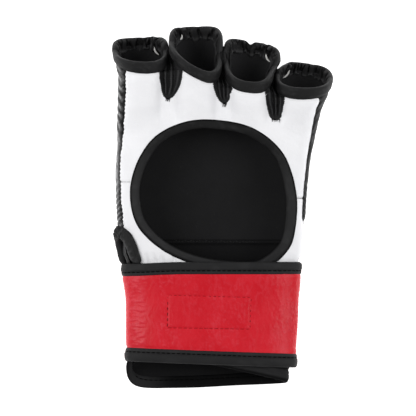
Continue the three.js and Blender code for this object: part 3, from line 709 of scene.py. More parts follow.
# a darker copy of the tape's look: the base of the opening tape under its painted light, and painted
# shade on the cuff's tape, the opening tape's rim and the mouths' inner faces
darkTapeLook = {**tapeLook, "color": (0.0030, 0.0030, 0.0032), "otherColor": (0.0042, 0.0042, 0.0045)}
liningLook = {
    "color": (0.0105, 0.0105, 0.011),
    "otherColor": (0.013, 0.013, 0.0136),
    "worn": (0.022, 0.022, 0.023),
    "lint": (0.1, 0.1, 0.1),
    "lintAmount": 0.05,
    "patch": 30.0,
    "specular": 0.08,
    "roughness": (0.86, 0.94),
    "thread": 0.6,
    "threadShade": 0.25,
    "weaveDepth": 0.06,
    "wear": 0.4,
}
hookLook = {**liningLook, "color": (0.010, 0.010, 0.011), "thread": 1.3, "weaveDepth": 0.4}
threadLook = {
    **tapeLook,
    "color": (0.012, 0.012, 0.013),
    "otherColor": (0.018, 0.018, 0.019),
    "thread": 0.16,
    "roughness": (0.5, 0.6),
}
redThreadLook = {
    **threadLook,
    "color": (0.27, 0.003, 0.006),
    "otherColor": (0.33, 0.004, 0.008),
    "worn": (0.3, 0.03, 0.04),
    "specular": 0.05,
}
# a darker copy of the lining for the cuff's inside: painted shade
shadedCuffLiningColours = {"color": (0.0065, 0.0065, 0.007), "otherColor": (0.008, 0.008, 0.0085)}
# a lighter copy of the lining for the finger sleeves: painted light inside the fingers
litFingerLiningColours = {"color": (0.019, 0.019, 0.02), "otherColor": (0.023, 0.023, 0.024)}
mouthTapeColours = {"color": (0.005, 0.005, 0.0053), "otherColor": (0.0065, 0.0065, 0.0068)}
rawColours = {"color": (0.74, 0.73, 0.71), "otherColor": (0.66, 0.65, 0.63)}
paleThreadColours = {"color": (0.5, 0.5, 0.51), "otherColor": (0.6, 0.6, 0.6)}
darkRedColours = {"color": (0.06, 0.002, 0.003), "otherColor": (0.10, 0.003, 0.004)}
darkThreadLook = {
    **threadLook,
    "color": (0.001, 0.001, 0.001),
    "otherColor": (0.001, 0.001, 0.001),
    "lintAmount": 0.0,
    "wear": 0.0,
    "specular": 0.03,
}

whiteLeather = makeFinish("white_leather", leather, whiteLook)
redLeather = makeFinish("red_leather", leather, redLook)
blackLeather = makeFinish("black_leather", leather, blackLook)
rawLeather = makeFinish("raw_leather", leather, whiteLook, **rawColours, roughness=(0.8, 0.9))
rolledLeather = makeFinish("rolled_leather", leather, rolledLook)
seamLeather = makeFinish("seam_leather", leather, rolledLook, roughness=(0.45, 0.55))
bindingTape = makeFinish("binding_tape", cloth, tapeLook)
openingTape = makeFinish("opening_tape", cloth, darkTapeLook)
# a darker copy of the tape: painted shade on the cuff's tape under the strap and on the opening tape's
# rim
shadedCuffTape = makeFinish("cuff_tape", cloth, darkTapeLook, specular=0.03, roughness=(0.85, 0.95))
# a darker copy of the tape for the mouths' inner faces: painted shade inside the finger mouths, with
# painted highlights on its crests
shadedInnerTape = makeFinish("shaded_inner_tape", cloth, darkTapeLook, specular=0.12, roughness=(0.6, 0.7), wear=0.6)
mouthTape = makeFinish("mouth_tape", cloth, tapeLook, **mouthTapeColours, wear=0.85)
blackLining = makeFinish("black_lining", cloth, liningLook)
shadedCuffLining = makeFinish("shaded_cuff_lining", cloth, liningLook, **shadedCuffLiningColours)
litFingerLining = makeFinish("lit_finger_lining", cloth, liningLook, **litFingerLiningColours)
hookLoops = makeFinish("hook_and_loop", cloth, hookLook)
blackThread = makeFinish("black_thread", cloth, threadLook)
darkThread = makeFinish("dark_thread", cloth, darkThreadLook)
paleThread = makeFinish("pale_thread", cloth, threadLook, **paleThreadColours)
redThread = makeFinish("red_thread", cloth, redThreadLook)
darkRedThread = makeFinish("dark_red_thread", cloth, redThreadLook, **darkRedColours)
print("glove: materials made")


def pulse(value, middle, width):
    # a smooth bump of height 1
    return np.exp(-(((np.asarray(value, float) - middle) / width) ** 2))


def inShape(x, y, outline):
    # whether points lie inside a closed outline
    inside = np.zeros(np.shape(x), bool)
    ends = np.roll(outline, -1, axis=0)
    for (x0, y0), (x1, y1) in zip(outline, ends):
        if y0 == y1:
            continue
        crosses = (y0 > y) != (y1 > y)
        inside ^= crosses & (x < (x1 - x0) * (y - y0) / (y1 - y0) + x0)
    return inside


def smoothLoop(points, count):
    # evenly spaced points on a closed centripetal Catmull-Rom curve
    points = np.asarray(points, float)
    total = len(points)
    curve = []
    for i in range(total):
        a, b, c, d = (points[(i + k - 1) % total] for k in range(4))
        gaps = [max(np.linalg.norm(q - p) ** 0.5, 1e-6) for p, q in ((a, b), (b, c), (c, d))]
        first = (b - a) / gaps[0] - (c - a) / (gaps[0] + gaps[1]) + (c - b) / gaps[1]
        second = (c - b) / gaps[1] - (d - b) / (gaps[1] + gaps[2]) + (d - c) / gaps[2]
        first, second = first * gaps[1], second * gaps[1]
        t = np.linspace(0, 1, 60, endpoint=False)[:, None]
        cubic = 2 * b - 2 * c + first + second
        square = -3 * b + 3 * c - 2 * first - second
        curve.append(cubic * t**3 + square * t**2 + first * t + b)
    curve = np.concatenate(curve + [curve[0][:1]])
    length = np.concatenate([[0], np.cumsum(np.linalg.norm(np.diff(curve, axis=0), axis=1))])
    at = np.linspace(0, length[-1], count, endpoint=False)
    return np.stack([np.interp(at, length, curve[:, k]) for k in range(curve.shape[1])], axis=1)


def upward(path):
    return np.zeros_like(path) + (0, 0, 1)


def threads(name, strands, finish, slotName):
    # tubes along short lines; a strand is its points, the way up from the surface and its radii
    ring = 6
    turns = np.linspace(0, 2 * math.pi, ring, endpoint=False)
    points, faces, base = [], [], 0
    for line, up, radius in strands:
        side = unit(np.cross(np.gradient(line, axis=0), up))
        up = unit(np.cross(side, np.gradient(line, axis=0)))
        turn = np.cos(turns)[None, :, None] * side[:, None] + np.sin(turns)[None, :, None] * up[:, None]
        points.append((line[:, None] + radius[:, None, None] * turn).reshape(-1, 3))
        faces += gridFaces(len(line), ring, False, True, base).tolist()
        faces.append([base + k for k in range(ring)])
        base += len(line) * ring
        faces.append([base - ring + k for k in range(ring)])
    return dress(makeMesh(name, np.concatenate(points), faces), finish, slotName)


def stitches(name, path, ups, look, finish, slotName):
    # a row of short thread stitches along a path, each one sunk at both ends
    path, ups = np.asarray(path, float), np.asarray(ups, float)
    steps = np.linalg.norm(np.diff(path, axis=0), axis=1)
    length = np.concatenate([[0], np.cumsum(steps)])
    pitch = length[-1] / max(1, round(length[-1] / look["pitch"]))
    strands = []
    for start in np.arange(0, length[-1] - pitch * 0.5, pitch):
        t = np.linspace(0, 1, 7)
        at = start + pitch * (look["gap"] / 2 + t * (1 - look["gap"]))
        line = np.stack([np.interp(at, length, path[:, k]) for k in range(3)], axis=1)
        up = unit(np.stack([np.interp(at, length, ups[:, k]) for k in range(3)], axis=1))
        arch = np.sin(t * math.pi)
        line = line + up * (arch * look["rise"] - look["sink"])[:, None]
        strands.append((line, up, look["thread"] / 2 * (0.35 + 0.65 * np.clip(arch * 2.2, 0, 1))))
    return threads(name, strands, finish, slotName)


# Finger sleeves and the tape round each mouth
sleeveLook = {
    "depth": 2.25,
    "wall": 1.5,
    "padding": (18, 5.4),  # at the finger's base and at its mouth
    "strip": 2.3,
    "wrinkle": 0.5,
    "wrinkleSize": 11.0,
    "underTape": 2.5,
}
mouthLook = {
    "sideOut": -0.1, "palmOut": 0.2, "backOut": 0.0,
    "sideIn": 3.9, "palmIn": 4.3, "backIn": 5.8,
    "gather": 2.0,  # how far the gathers of the back rim stand in
    "gatherPitch": 4.6,
    "hang": 1.5,  # how unevenly the inner edge hangs
    "pucker": 0.16,
    "seamLine": 0.16,  # share of the width at which the tape is sewn down
    "fold": 2.7,  # height of the crumpled ends where the tape is joined
    "girth": 105.0,
}
# one row a finger: where the tape's ends are joined, and the raw leather that shows there
mouthSeams = namedRows(
    "angle spread sliverX sliverY turn long pucker notch",
    (143.0, 19.0, -42.9, 100.7, -59.0, 6.2, 172.0, 0.2),
    (-150.0, 12.0, -25.9, 109.5, 66.0, 4.4, 176.0, 0.15),
    (146.0, 14.0, 29.6, 96.2, -62.0, 6.2, 185.0, 1.4),
    (-132.0, 14.0, 42.7, 85.6, 50.0, 7.2, 165.0, 0.2),
)


def turnBetween(angle, middle):
    # signed difference of two angles in degrees
    return (np.degrees(angle) - middle + 180) % 360 - 180


def sleevePoint(index, y, angle, side, palm, back):
    underEdges = ease(np.cos(angle), -0.75, -0.35)
    depth = sleeveLook["depth"]
    inset = mix(0.2, sleeveLook["strip"] + 3 * hand["seamGap"], underEdges)
    point = sectionPoint(fingerBox(index, y), y, angle, inset + side, depth + palm, back)
    x, z = point[..., 0], point[..., 2]
    cover = (depth + palm) / np.maximum(0.45, palmNormal(x, point[..., 1])[..., 2])
    capped = np.minimum(z, gloveHeight(x, point[..., 1]) - cover)
    point[..., 2] = np.where(np.cos(angle) > 0, capped, z)
    return point


def makeSleeve(index):
    finger = fingers[index]

    def place(s, a, d, over):
        angle = s * 2 * math.pi
        clearance = hand["seamGap"] * (3 + 3 * np.abs(np.sin(angle)))
        end = mouthY(index, angle) - hand["tapeWidth"] - clearance
        y = mix(hand["fingerBase"] + hand["seamGap"], end, a) + over * 0.25
        narrowing = ease(y, hand["fingerBase"], finger["backRim"] - 6)
        back = mix(*sleeveLook["padding"], narrowing)
        tucked = ease(a, 0.86, 0.95)  # the end runs on inside the tape
        y = y + tucked * ease(a, 0.9, 1.0) * (clearance + sleeveLook["underTape"])
        inset = d * sleeveLook["wall"] - tucked * mix(1.3, 0.4, d)
        inset = np.maximum(inset, -2.0)
        point = sleevePoint(index, y, angle, inset, inset, d * back)
        lumps = noiseAt(point * (1, 0.6, 1), sleeveLook["wrinkleSize"], 3 + index)
        inward = unit(stacked(-np.sin(angle), 0, -np.cos(angle)))
        away = np.where(np.cos(angle) < 0, 1.0, 0.4)
        return point + inward * ((0.5 + 0.5 * lumps) * sleeveLook["wrinkle"] * away)[..., None]

    piece = loftWall(f"{finger['name']}_sleeve_cloth", 150, 30, 3, place)
    # the sleeves take the lighter lining: painted light
    dress(piece, litFingerLining, "black_lining", f"{finger['name']}_sleeve")


def makeMouthTape(index):
    finger, seam = fingers[index], mouthSeams[index]

    def place(s, a, d):
        angle = s * 2 * math.pi
        girth = s * mouthLook["girth"]
        inner = ease(d, 0.25, 0.8)
        atBack = ease(-np.cos(angle), -0.4, 0.5)
        atSeam = pulse(turnBetween(angle, seam["angle"]), 0, seam["spread"])
        atPucker = pulse(turnBetween(angle, seam["pucker"]), 0, 7) * seam["notch"]
        flat = stacked(girth, a * 9.0, d * 0)
        wave = noiseAt(flat * (1, 0.4, 1), mouthLook["gatherPitch"], 11 + index, 2)
        crumple = noiseAt(flat * (1, 0.7, 1), 4.2, 31 + index, 3)
        fine = noiseAt(flat * (0.6, 1, 1), 2.2, 51 + index, 2)
        # rounded folds with sharp creases between them
        folds = np.minimum(1, 3.4 * np.abs(wave)) ** 0.8 - 0.5
        gather = mouthLook["gather"] * (0.2 + 0.8 * atBack) * folds * (1 - 0.8 * ease(a, 0.75, 1.0))
        crushed = mouthLook["fold"] * atSeam * (1.5 * np.abs(crumple) - 0.15)
        hemRoll = (1.3 + 0.5 * wave) * pulse(a, 0.14, 0.13) * atBack
        standing = inner * (gather + crushed + hemRoll)
        sewn = pulse(a, mouthLook["seamLine"], 0.05) * (0.28 + 0.05 * np.cos(girth * math.pi / 1.5))
        outward = (1 - inner) * (mouthLook["pucker"] * fine - sewn + 0.4 * atSeam * crumple)
        turn = (2 * a - 1) ** 4 * 0.5
        y = mouthY(index, angle) - hand["tapeWidth"] * (1 - a)
        y = y + inner * (1 - a) * (mouthLook["hang"] * wave * (0.3 + atBack) - 1.2 * atBack)
        y = y - atPucker * (0.5 + a) + 0.7 * atSeam * crumple * a
        side = mix(mouthLook["sideOut"] + turn, mouthLook["sideIn"] - turn, d) - outward + standing
        palm = mix(mouthLook["palmOut"] + turn, mouthLook["palmIn"] - turn, d) - outward + standing * 0.5
        back = mix(mouthLook["backOut"] + turn, mouthLook["backIn"] - turn, d)
        back = back + standing + atPucker * 0.5
        # painted highlights: on the gathered folds and the crumpled joint inside the back rim, along the
        # tape's top edge and a line near its lower edge, and a faint sheen on the outer face's puckers
        edge = 1.0 * pulse(a, 0.12, 0.12) * ease(d, 0.3, 0.6) * atBack
        crest = ease(folds, 0.1, 0.5) * inner * atBack * 0.2 + pulse(a, 1, 0.12) * 0.22 + edge
        crest = crest + atSeam * inner * ease(1.5 * np.abs(crumple), 0.45, 0.9)
        crest = crest + (0.05 + 0.12 * ease(fine, 0.1, 0.6)) * (1 - inner)
        return sectionPoint(fingerBox(index, y), y, angle, side, palm, back), crest

    section = ringSection(52, 3.2)
    # the inner faces take the darker copy of the tape: painted shade
    inside = np.tile(section[1] > 0.6, 340)
    piece = loftBand(f"{finger['name']}_mouth_tape", 340, section, place, looks=inside)
    dress(piece, [mouthTape, shadedInnerTape], "binding_tape", f"{finger['name']}_tape")

    # the raw edge of white leather that shows inside the joint
    turn = math.radians(seam["turn"])

    def placeSliver(s, a, d):
        along, across = (s - 0.5) * seam["long"], (a - 0.5) * 1.1 * (1 - (2 * s - 1) ** 4)
        bend = 0.9 * (2 * s - 1) ** 2
        x = seam["sliverX"] + along * math.cos(turn) - (across + bend) * math.sin(turn)
        y = seam["sliverY"] + along * math.sin(turn) + (across + bend) * math.cos(turn)
        box = fingerBox(index, y)
        low = boxSurface(box, x, -1, 0.97) + mouthLook["backIn"]
        z = low + 4.5 + 0.5 * np.sin(s * math.pi) - d * 1.4
        return stacked(x, y, z)

    sliver = loftBand(f"{finger['name']}_raw_edge", 26, ringSection(12, 2.4), placeSliver, closed=False)
    dress(sliver, rawLeather, "white_leather")


for index in range(4):
    makeSleeve(index)
    makeMouthTape(index)
print("glove: finger sleeves and mouths made")


# Palm leather: one trimmed sheet round the opening, cut in lobes for the fingers
leatherLook = {
    "thickness": 1.5,
    "grid": 0.85,
    "underTape": 2.5,  # how far it runs on under the fingers' tapes
    "underOpening": 1.9,
    "crease": 0.42,
    "strapPucker": 0.28,
    "strapDips": (-48.3, -43.4, -38.2, -30.5),  # short folds above the strap, as places along x
    "dipDepth": 0.9,
    "seamDepth": 0.6,
    "seamLumps": (0.55, 0.2),  # at the thumb's side: slow ones, and one at each stitch
    "seamPitch": 2.6,
    "outerLumps": 0.25,
}
paleRow = {"pitch": 2.4, "gap": 0.1, "thread": 0.36}
sideSeams = namedRows(
    "name y fromX toX finish slot row",
    ("thumb", 15.9, -65.4, -59.4, paleThread, "white_leather", paleRow),
    ("outer", 5.4, 48.6, 53.4, blackThread, "binding_tape", {"pitch": 1.5}),
)
openingEdge = smoothLoop(list(zip(palmOpening["x"], palmOpening["y"])), 420)
openingMiddle = np.array([-5.0, 8.0])


def gussetSide(gusset, corner, share):
    start = gusset["tipX"] + math.copysign(gusset["tipWidth"] / 2, corner - gusset["tipX"])
    bulge = np.sin(np.clip(share, 0, 1) * math.pi / 2) ** gusset["bulge"]
    return stacked(mix(start, corner, bulge), mix(gusset["tipY"], gusset["topY"], share))


def thumbSeam(y):
    # where the leather ends beside the rolled strip
    return edges["thumbEdge"](y) + 1.0 * ease(y, 64, 78) + 0.7 * ease(-y, -4, 6)


def outerSeam(y):
    # where the leather ends at the outer side; low on the hand it wraps the whole side
    wrapped = form["right"](y) - 0.12
    seam = edges["outerEdge"](y) + 1.3 * ease(y, 15, 38) + 0.6 * ease(y, 56, 70)
    return mix(seam, wrapped, ease(-y, 5, 17))


def leatherOutline(extra):
    # the sheet's outline in plan, with its lobes run on by an extra length
    low = hand["bodyEnd"]
    outline = []
    top = lobeEdge(0, edges["thumbEdge"](85)) + extra
    ys = np.arange(low, top, 0.5)
    # the lumpy seam beside the rolled strip; it runs on under the tape of the thumb hole
    slow, fine = leatherLook["seamLumps"]
    lumps = slow * noiseAt(stacked(ys, 0, 0), 6.5, 66, 2)
    lumps = lumps + fine * np.sin(ys * math.pi / (leatherLook["seamPitch"] / 2))
    outline += list(zip(thumbSeam(ys) + lumps - 2.3 * ease(-ys, 11, 17), ys))
    for index in range(4):
        left = edges["thumbEdge"](top) if index == 0 else gussets[index - 1]["rightX"]
        right = gussets[index]["leftX"] if index < 3 else outerSeam(lobeEdge(3, 68) + extra)
        xs = np.linspace(left, right, 44)
        outline += list(zip(xs, lobeEdge(index, xs) + extra))
        if index < 3:
            gusset = gussets[index]
            down = gussetSide(gusset, gusset["leftX"], np.linspace(1.1, 0, 40))
            outline += [tuple(q) for q in down if q[1] < lobeEdge(index, gusset["leftX"]) + extra]
            up = gussetSide(gusset, gusset["rightX"], np.linspace(0, 1.1, 40))
            outline += [tuple(q) for q in up if q[1] < lobeEdge(index + 1, gusset["rightX"]) + extra]
    ys = np.arange(outline[-1][1] - 0.8, low, -0.8)
    lumps = leatherLook["outerLumps"] * noiseAt(stacked(ys, 0, 0), 3.5, 67, 2) * ease(ys, -4, 4)
    outline += list(zip(outerSeam(ys) + lumps, ys))
    return np.array(outline + [(outerSeam(low), low)])


def leatherRelief(x, y):
    # creases of the palm leather, and how far it dips under the finger tapes
    flat = stacked(x, y, 0 * x)
    atFingers = np.zeros_like(x)
    dip = np.zeros_like(x)
    for index in range(4):
        within = (x >= partings[index](y)) & (x < partings[index + 1](y))
        under = y - lobeEdge(index, x)
        dip = np.where(within, ease(under, -1.0, 0.9) * 1.7, dip)
        atFingers = np.where(within, ease(under, -24, -3), atFingers)
    across = noiseAt(flat * (0.45, 1, 1), 5.0, 71, 3)
    slow = noiseAt(flat * (0.7, 1, 1), 15.0, 72, 2)
    upright = noiseAt(flat * (1, 0.3, 1), 4.2, 73, 2)
    atStrap = ease(-y, 22, 34)
    ridge = 1 - np.abs(across) * 2.4
    creased = slow - 0.35 * np.maximum(0, ridge) ** 3
    relief = leatherLook["crease"] * (0.25 + 0.75 * atFingers) * creased
    relief = relief + leatherLook["strapPucker"] * atStrap * upright
    for dipX in leatherLook["strapDips"]:
        dipped = pulse(x + 0.15 * (y - strap["topY"]), dipX, 1.2) * ease(-y, 28, 35)
        relief = relief - leatherLook["dipDepth"] * dipped
    relief = relief - 0.2 * pulse(y, strap["topY"] + 0.7, 0.4)  # pressed in beside the strap
    for seam in sideSeams:
        inSpan = ease(x, seam["fromX"] - 3, seam["fromX"]) * ease(-x, -seam["toX"] - 3, -seam["toX"])
        relief = relief - leatherLook["seamDepth"] * pulse(y, seam["y"], 0.7) * inSpan
        relief = relief + 0.12 * pulse(y, seam["y"] - 1.4, 0.8) * inSpan
    return relief - dip


def onLeather(plan, outline, hole):
    x, y = plan.T
    return inShape(x, y, outline) & ~inShape(x, y, hole)


def makePalmLeather():
    outline = leatherOutline(leatherLook["underTape"])
    toMiddle = unit(openingMiddle - openingEdge)
    hole = openingEdge + toMiddle * leatherLook["underOpening"]
    low, high = outline.min(axis=0), outline.max(axis=0)
    step = leatherLook["grid"]
    xs, ys = np.meshgrid(np.arange(low[0], high[0], step), np.arange(low[1], high[1], step))
    grid = stacked(xs.ravel(), ys.ravel())
    keep = onLeather(grid, outline, hole)
    rim = np.concatenate([outline, hole])
    near = np.array([np.min(np.sum((rim - q) ** 2, axis=1)) for q in grid[keep]])
    grid = grid[keep][near > (0.45 * step) ** 2]
    plan = np.concatenate([outline, hole, grid])
    loops = [(0, len(outline)), (len(outline), len(hole))]
    rims = [(start + k, start + (k + 1) % count) for start, count in loops for k in range(count)]
    made = delaunay_2d_cdt([Vector(q) for q in plan], rims, [], 0, 1e-5)
    flat = np.array([tuple(q) for q in made[0]])
    triangles = np.array([tuple(face) for face in made[2]])
    triangles = triangles[onLeather(flat[triangles].mean(axis=1), outline, hole)]
    x, y = flat[:, 0], flat[:, 1]
    normal = palmNormal(x, y, leatherHeight)
    top = stacked(x, y, leatherHeight(x, y)) + normal * leatherRelief(x, y)[:, None]
    bottom = top - normal * leatherLook["thickness"]
    count = len(flat)
    sides = {}
    for a, b, c in triangles:
        for edge in ((a, b), (b, c), (c, a)):
            key = (min(edge), max(edge))
            sides[key] = None if key in sides else edge
    rimEdges = [edge for edge in sides.values() if edge is not None]  # edges of one triangle alone
    walls = [[a, b, b + count, a + count] for a, b in rimEdges]
    faces = triangles.tolist() + (triangles[:, ::-1] + count).tolist() + walls
    looks = [0] * len(triangles) + [1] * len(triangles) + [0] * len(walls)
    piece = makeMesh("palm_leather_sheet", np.concatenate([top, bottom]), faces, looks)
    dress(piece, [whiteLeather, blackLining], "white_leather", "palm_leather")


threadRow = {"pitch": 2.6, "gap": 0.28, "thread": 0.42, "rise": 0.22, "sink": 0.08}
makePalmLeather()
for seam in sideSeams:
    x = np.linspace(seam["fromX"], seam["toX"], 20)
    y = np.full(20, seam["y"])
    path = stacked(x, y, gloveHeight(x, y) - 0.25)
    row = {**threadRow, **seam["row"]}
    stitches(f"palm_stitches_{seam['name']}", path, palmNormal(x, y), row, seam["finish"], seam["slot"])


# Tape round the palm opening
openingLook = {
    "width": 6.0,
    "wider": (0.5, 1.3),  # at the thumb's side and at the outer side
    "rise": 0.95,
    "depth": 2.5,
    "pucker": 0.14,
    "girth": 320.0,
}


def makeOpeningTape():
    count = len(openingEdge)
    tangent = unit(np.roll(openingEdge, -1, axis=0) - np.roll(openingEdge, 1, axis=0))
    inward = stacked(-tangent[:, 1], tangent[:, 0])
    inward = facing(inward, openingMiddle - openingEdge)
    edgeX, edgeY = openingEdge[:, None, 0], openingEdge[:, None, 1]
    atThumb, atOuter = ease(-edgeX, 40, 55), ease(edgeX, 20, 42) * ease(-edgeY, -40, -10)
    width = openingLook["width"] + openingLook["wider"][0] * atThumb + openingLook["wider"][1] * atOuter

    def place(s, a, d):
        share = a * width
        x, y = edgeX + inward[:, None, 0] * share, edgeY + inward[:, None, 1] * share
        wave = noiseAt(stacked(s * openingLook["girth"] * 0.7, a * 7.0, d * 4.0), 4.0, 81, 2)
        turn = 0.25 * (2 * a - 1) ** 4
        crown = openingLook["rise"] * (1 - 0.35 * a) - turn + openingLook["pucker"] * wave
        crown = crown - 0.35 * pulse(a, 0.2, 0.07)
        offset = mix(crown, -openingLook["depth"] + turn, d)
        middle = ease(a, 0.22, 0.4) * (1 - ease(a, 0.85, 1.0))
        # painted light: the middle band of the tape's width is lightened, most at the thumb's side and
        # low on the hand, with a faint sheen on its puckers
        lit = 0.44 - 0.12 * ease(x, 0, 30) - 0.4 * ease(y, 12, 50)
        point = stacked(x, y, leatherHeight(x, y)) + palmNormal(x, y, leatherHeight) * offset[..., None]
        return point, (lit * middle + 0.16 * ease(wave, 0.1, 0.6)) * (1 - d)

    section = ringSection(40, 3.0)
    # the outer rim takes the darker cuff tape: painted shade along the tape's outer edge
    atRim = np.tile((section[0] < 0.17) & (section[1] < 0.7), count)
    piece = loftBand("palm_opening_binding", count, section, place, looks=atRim)
    dress(piece, [openingTape, shadedCuffTape], "binding_tape", "palm_opening_tape")


makeOpeningTape()
print("glove: palm leather and opening made")


# Gussets between the fingers: gathered cloth sewn over the cut edges of the leather
gussetLook = {
    "overlap": 0.75,
    "tooth": 0.42,  # the stitched, serrated edge
    "toothPitch": 1.25,
    "pleats": 3.6,
    "pleatHeight": 1.7,
    "depth": 6.0,
    "underTapes": 4.6,  # how far its sides dip where they pass under the tapes
    "thickness": 0.9,
    "slim": (1.3, 0.5),  # half its width between the tapes, below and at its end
    "deep": 8.0,  # how far it lies below the glove's surface there
    "fray": 2.3,
}


def makeGusset(index):
    gusset = gussets[index]
    topLeft = lobeEdge(index, gusset["leftX"])
    topRight = lobeEdge(index + 1, gusset["rightX"])
    low = gusset["tipY"] - 0.2
    rows, columns = 170, 50
    y = np.linspace(low, gusset["reach"], rows)[:, None]
    across = np.linspace(0, 1, columns)[None, :]
    share = np.clip((y - gusset["tipY"]) / (gusset["topY"] - gusset["tipY"]), 0, 1)
    cutLeft = gussetSide(gusset, gusset["leftX"], share)[..., 0]
    cutRight = gussetSide(gusset, gusset["rightX"], share)[..., 0]
    tooth = np.abs((y / gussetLook["toothPitch"]) % 1 - 0.5) * 2
    ragged = 0.25 * noiseAt(stacked(y, y * 0, y * 0), 2.1, 91 + index)
    jag = gussetLook["tooth"] * (tooth - 0.35) + ragged
    sewn = ease(y, low, gusset["tipY"] + 2.4)
    sewn = sewn * mix(1, 0.45, ease(share, 0.55, 0.9))  # the overlap is less beside the tapes
    closer = (1 - sewn) * gusset["tipWidth"] * 0.2 * (1 - share)
    left = cutLeft - (gussetLook["overlap"] + jag) * sewn + closer
    right = cutRight + (gussetLook["overlap"] + jag[::-1]) * sewn - closer
    # above the leather it narrows to fill the gap between the two tapes
    between = partings[index + 1](y)
    closeLeft = ease(y, topLeft + 1.5, topLeft + 9.5)
    closeRight = ease(y, topRight + 1.5, topRight + 9.5)
    closing = np.minimum(closeLeft, closeRight)
    slim = mix(*gussetLook["slim"], ease(y, gusset["reach"] - 12, gusset["reach"]))
    left, right = mix(left, between - slim, closeLeft), mix(right, between + slim, closeRight)
    x = mix(left, right, across)
    y = y + 0 * across
    within = ease(x - cutLeft, 0.1, 1.5) * ease(cutRight - x, 0.1, 1.5)
    atEdges = mix(leatherHeight(left, y[:, :1]), leatherHeight(right, y[:, :1]), across)
    laid = mix(leatherHeight(x, y), atEdges, within) + 0.35
    opened = ease(y, gusset["tipY"], gusset["tipY"] + 14)
    # each side dips below its finger's tape where it passes under that tape
    underLeft = ease(y - topLeft, -0.5, 1.9)
    underRight = ease(y - topRight, -0.5, 1.9)
    under = mix(underLeft, underRight, across)
    hollow = gussetLook["depth"] * opened * within * np.sin(across * math.pi) ** 0.6
    z = laid - hollow - under * gussetLook["underTapes"]
    further = gussetLook["deep"] * ease(y, gusset["reach"] - 10, gusset["reach"])
    deep = gloveHeight(between, y) - gussetLook["deep"] - further
    z = mix(z, deep, ease(closing, 0.1, 0.9))
    sway = noiseAt(stacked(x * 0.6, y * 0.2, z * 0), 4.0, 95 + index, 2)
    wave = np.cos(2 * math.pi * gussetLook["pleats"] * (across + 0.07 * sway) + 0.6)
    fold = (0.5 + 0.5 * wave) ** 1.3 - 0.3
    envelope = within * ease(y, gusset["tipY"], gusset["tipY"] + 6) * (1 - 0.7 * closing)
    relief = envelope * (gussetLook["pleatHeight"] * fold + 0.35 * sway)
    top = stacked(x, y, z + relief)
    normal = unit(np.cross(np.gradient(top, axis=1), np.gradient(top, axis=0)))
    normal = np.where(normal[..., 2:] < 0, -normal, normal)
    points = np.concatenate([top, top - normal * gussetLook["thickness"]])
    grid = gridFaces(rows, columns, False, False)
    rim = np.concatenate([
        np.arange(columns), np.arange(1, rows) * columns + columns - 1,
        (rows - 1) * columns + np.arange(columns - 2, -1, -1), np.arange(rows - 2, 0, -1) * columns,
    ])
    nextRim = np.roll(rim, -1)
    walls = stacked(rim, nextRim, nextRim + rows * columns, rim + rows * columns)
    faces = np.concatenate([grid, grid[:, ::-1] + rows * columns, walls])
    # painted highlight on the tops of the pleats
    crest = ease(relief, 0.25, 1.0) * 0.9
    crests = np.concatenate([crest, crest * 0])
    piece = makeMesh(f"gusset_{gusset['name']}_cloth", points, faces, crests=crests)
    dress(piece, bindingTape, "black_lining", f"gusset_{gusset['name']}")
    # frayed ends of the sewing thread at the tip
    maker = np.random.default_rng(400 + index)
    strands = []
    for k in range(4):
        t = np.linspace(0, 1, 12)
        startX = gusset["tipX"] + (k / 3 - 0.5) * (gusset["tipWidth"] * 0.8 + 0.8)
        reach = gussetLook["fray"] * maker.uniform(0.35, 1.0)
        lean = maker.uniform(-0.35, 0.35)
        lineX = startX + lean * reach * t + 0.25 * np.sin(t * maker.uniform(3, 6))
        lineY = gusset["tipY"] + 0.8 - (reach + 0.8) * t
        line = stacked(lineX, lineY, leatherHeight(lineX, lineY) + 0.3)
        strands.append((line, upward(line), 0.24 * (1 - 0.5 * t)))
    threads(f"gusset_{gusset['name']}_fray", strands, darkThread, "binding_tape")


for index in range(3):
    makeGusset(index)


# Side strips: the gathered edge of the back, rolled up like a rope to the palm leather
stripLook = {
    "depth": 2.3,
    "fullness": 0.7,
    "pitch": 3.6,
    "longer": 0.6,  # how much longer the pitch grows up the hand
    "slope": 14.0,
    "turned": (6, 46),  # between these places along y the ridges turn over
    "ridge": 1.0,
    "wander": 1.1,
    "groove": 2.0,  # how deep the seam beside the leather lies
    "rubbed": (25, 20),  # where along y the painted highlight on its crests is lightest, and how far each way
}
strips = namedRows(
    "name sign edge finger fromY freeFrom ridge rubbed stations finish",
    ("thumb_side_strip", -1, "thumbEdge", 0, -14.6, (-15, -12), 1.0, 1.0, 520, rolledLeather),
    ("outer_side_strip", 1, "outerEdge", 3, -46.5, (-14, -5), 0.45, 0.08, 320, seamLeather),
)


def stripPoint(strip, y, share, inset):
    sign = strip["sign"]
    palmEdge = (thumbSeam(y) + 0.5) if sign < 0 else (edges["outerEdge"](y) - 1.4)

    def onForm(box):
        edge = np.abs(acrossBox(box, palmEdge, 0.999))
        across = 1 - (1 - edge) * (1 - np.clip(share / 0.9, 0, 1)) ** 2
        lowest = math.radians(hand["shellSeam"]) - math.pi / 2 + (0.02 if sign > 0 else -0.04)
        angle = squareAngle(across, box["power"]) + lowest * ease(share, 0.8, 1.0)
        return sectionPoint(box, y, sign * angle, inset)

    body = onForm(bodyBox(np.minimum(y, hand["palmEnd"])))
    finger = onForm(fingerBox(strip["finger"], y))
    return mix(body, finger, ease(y, *hand["fingersBlend"])[..., None])


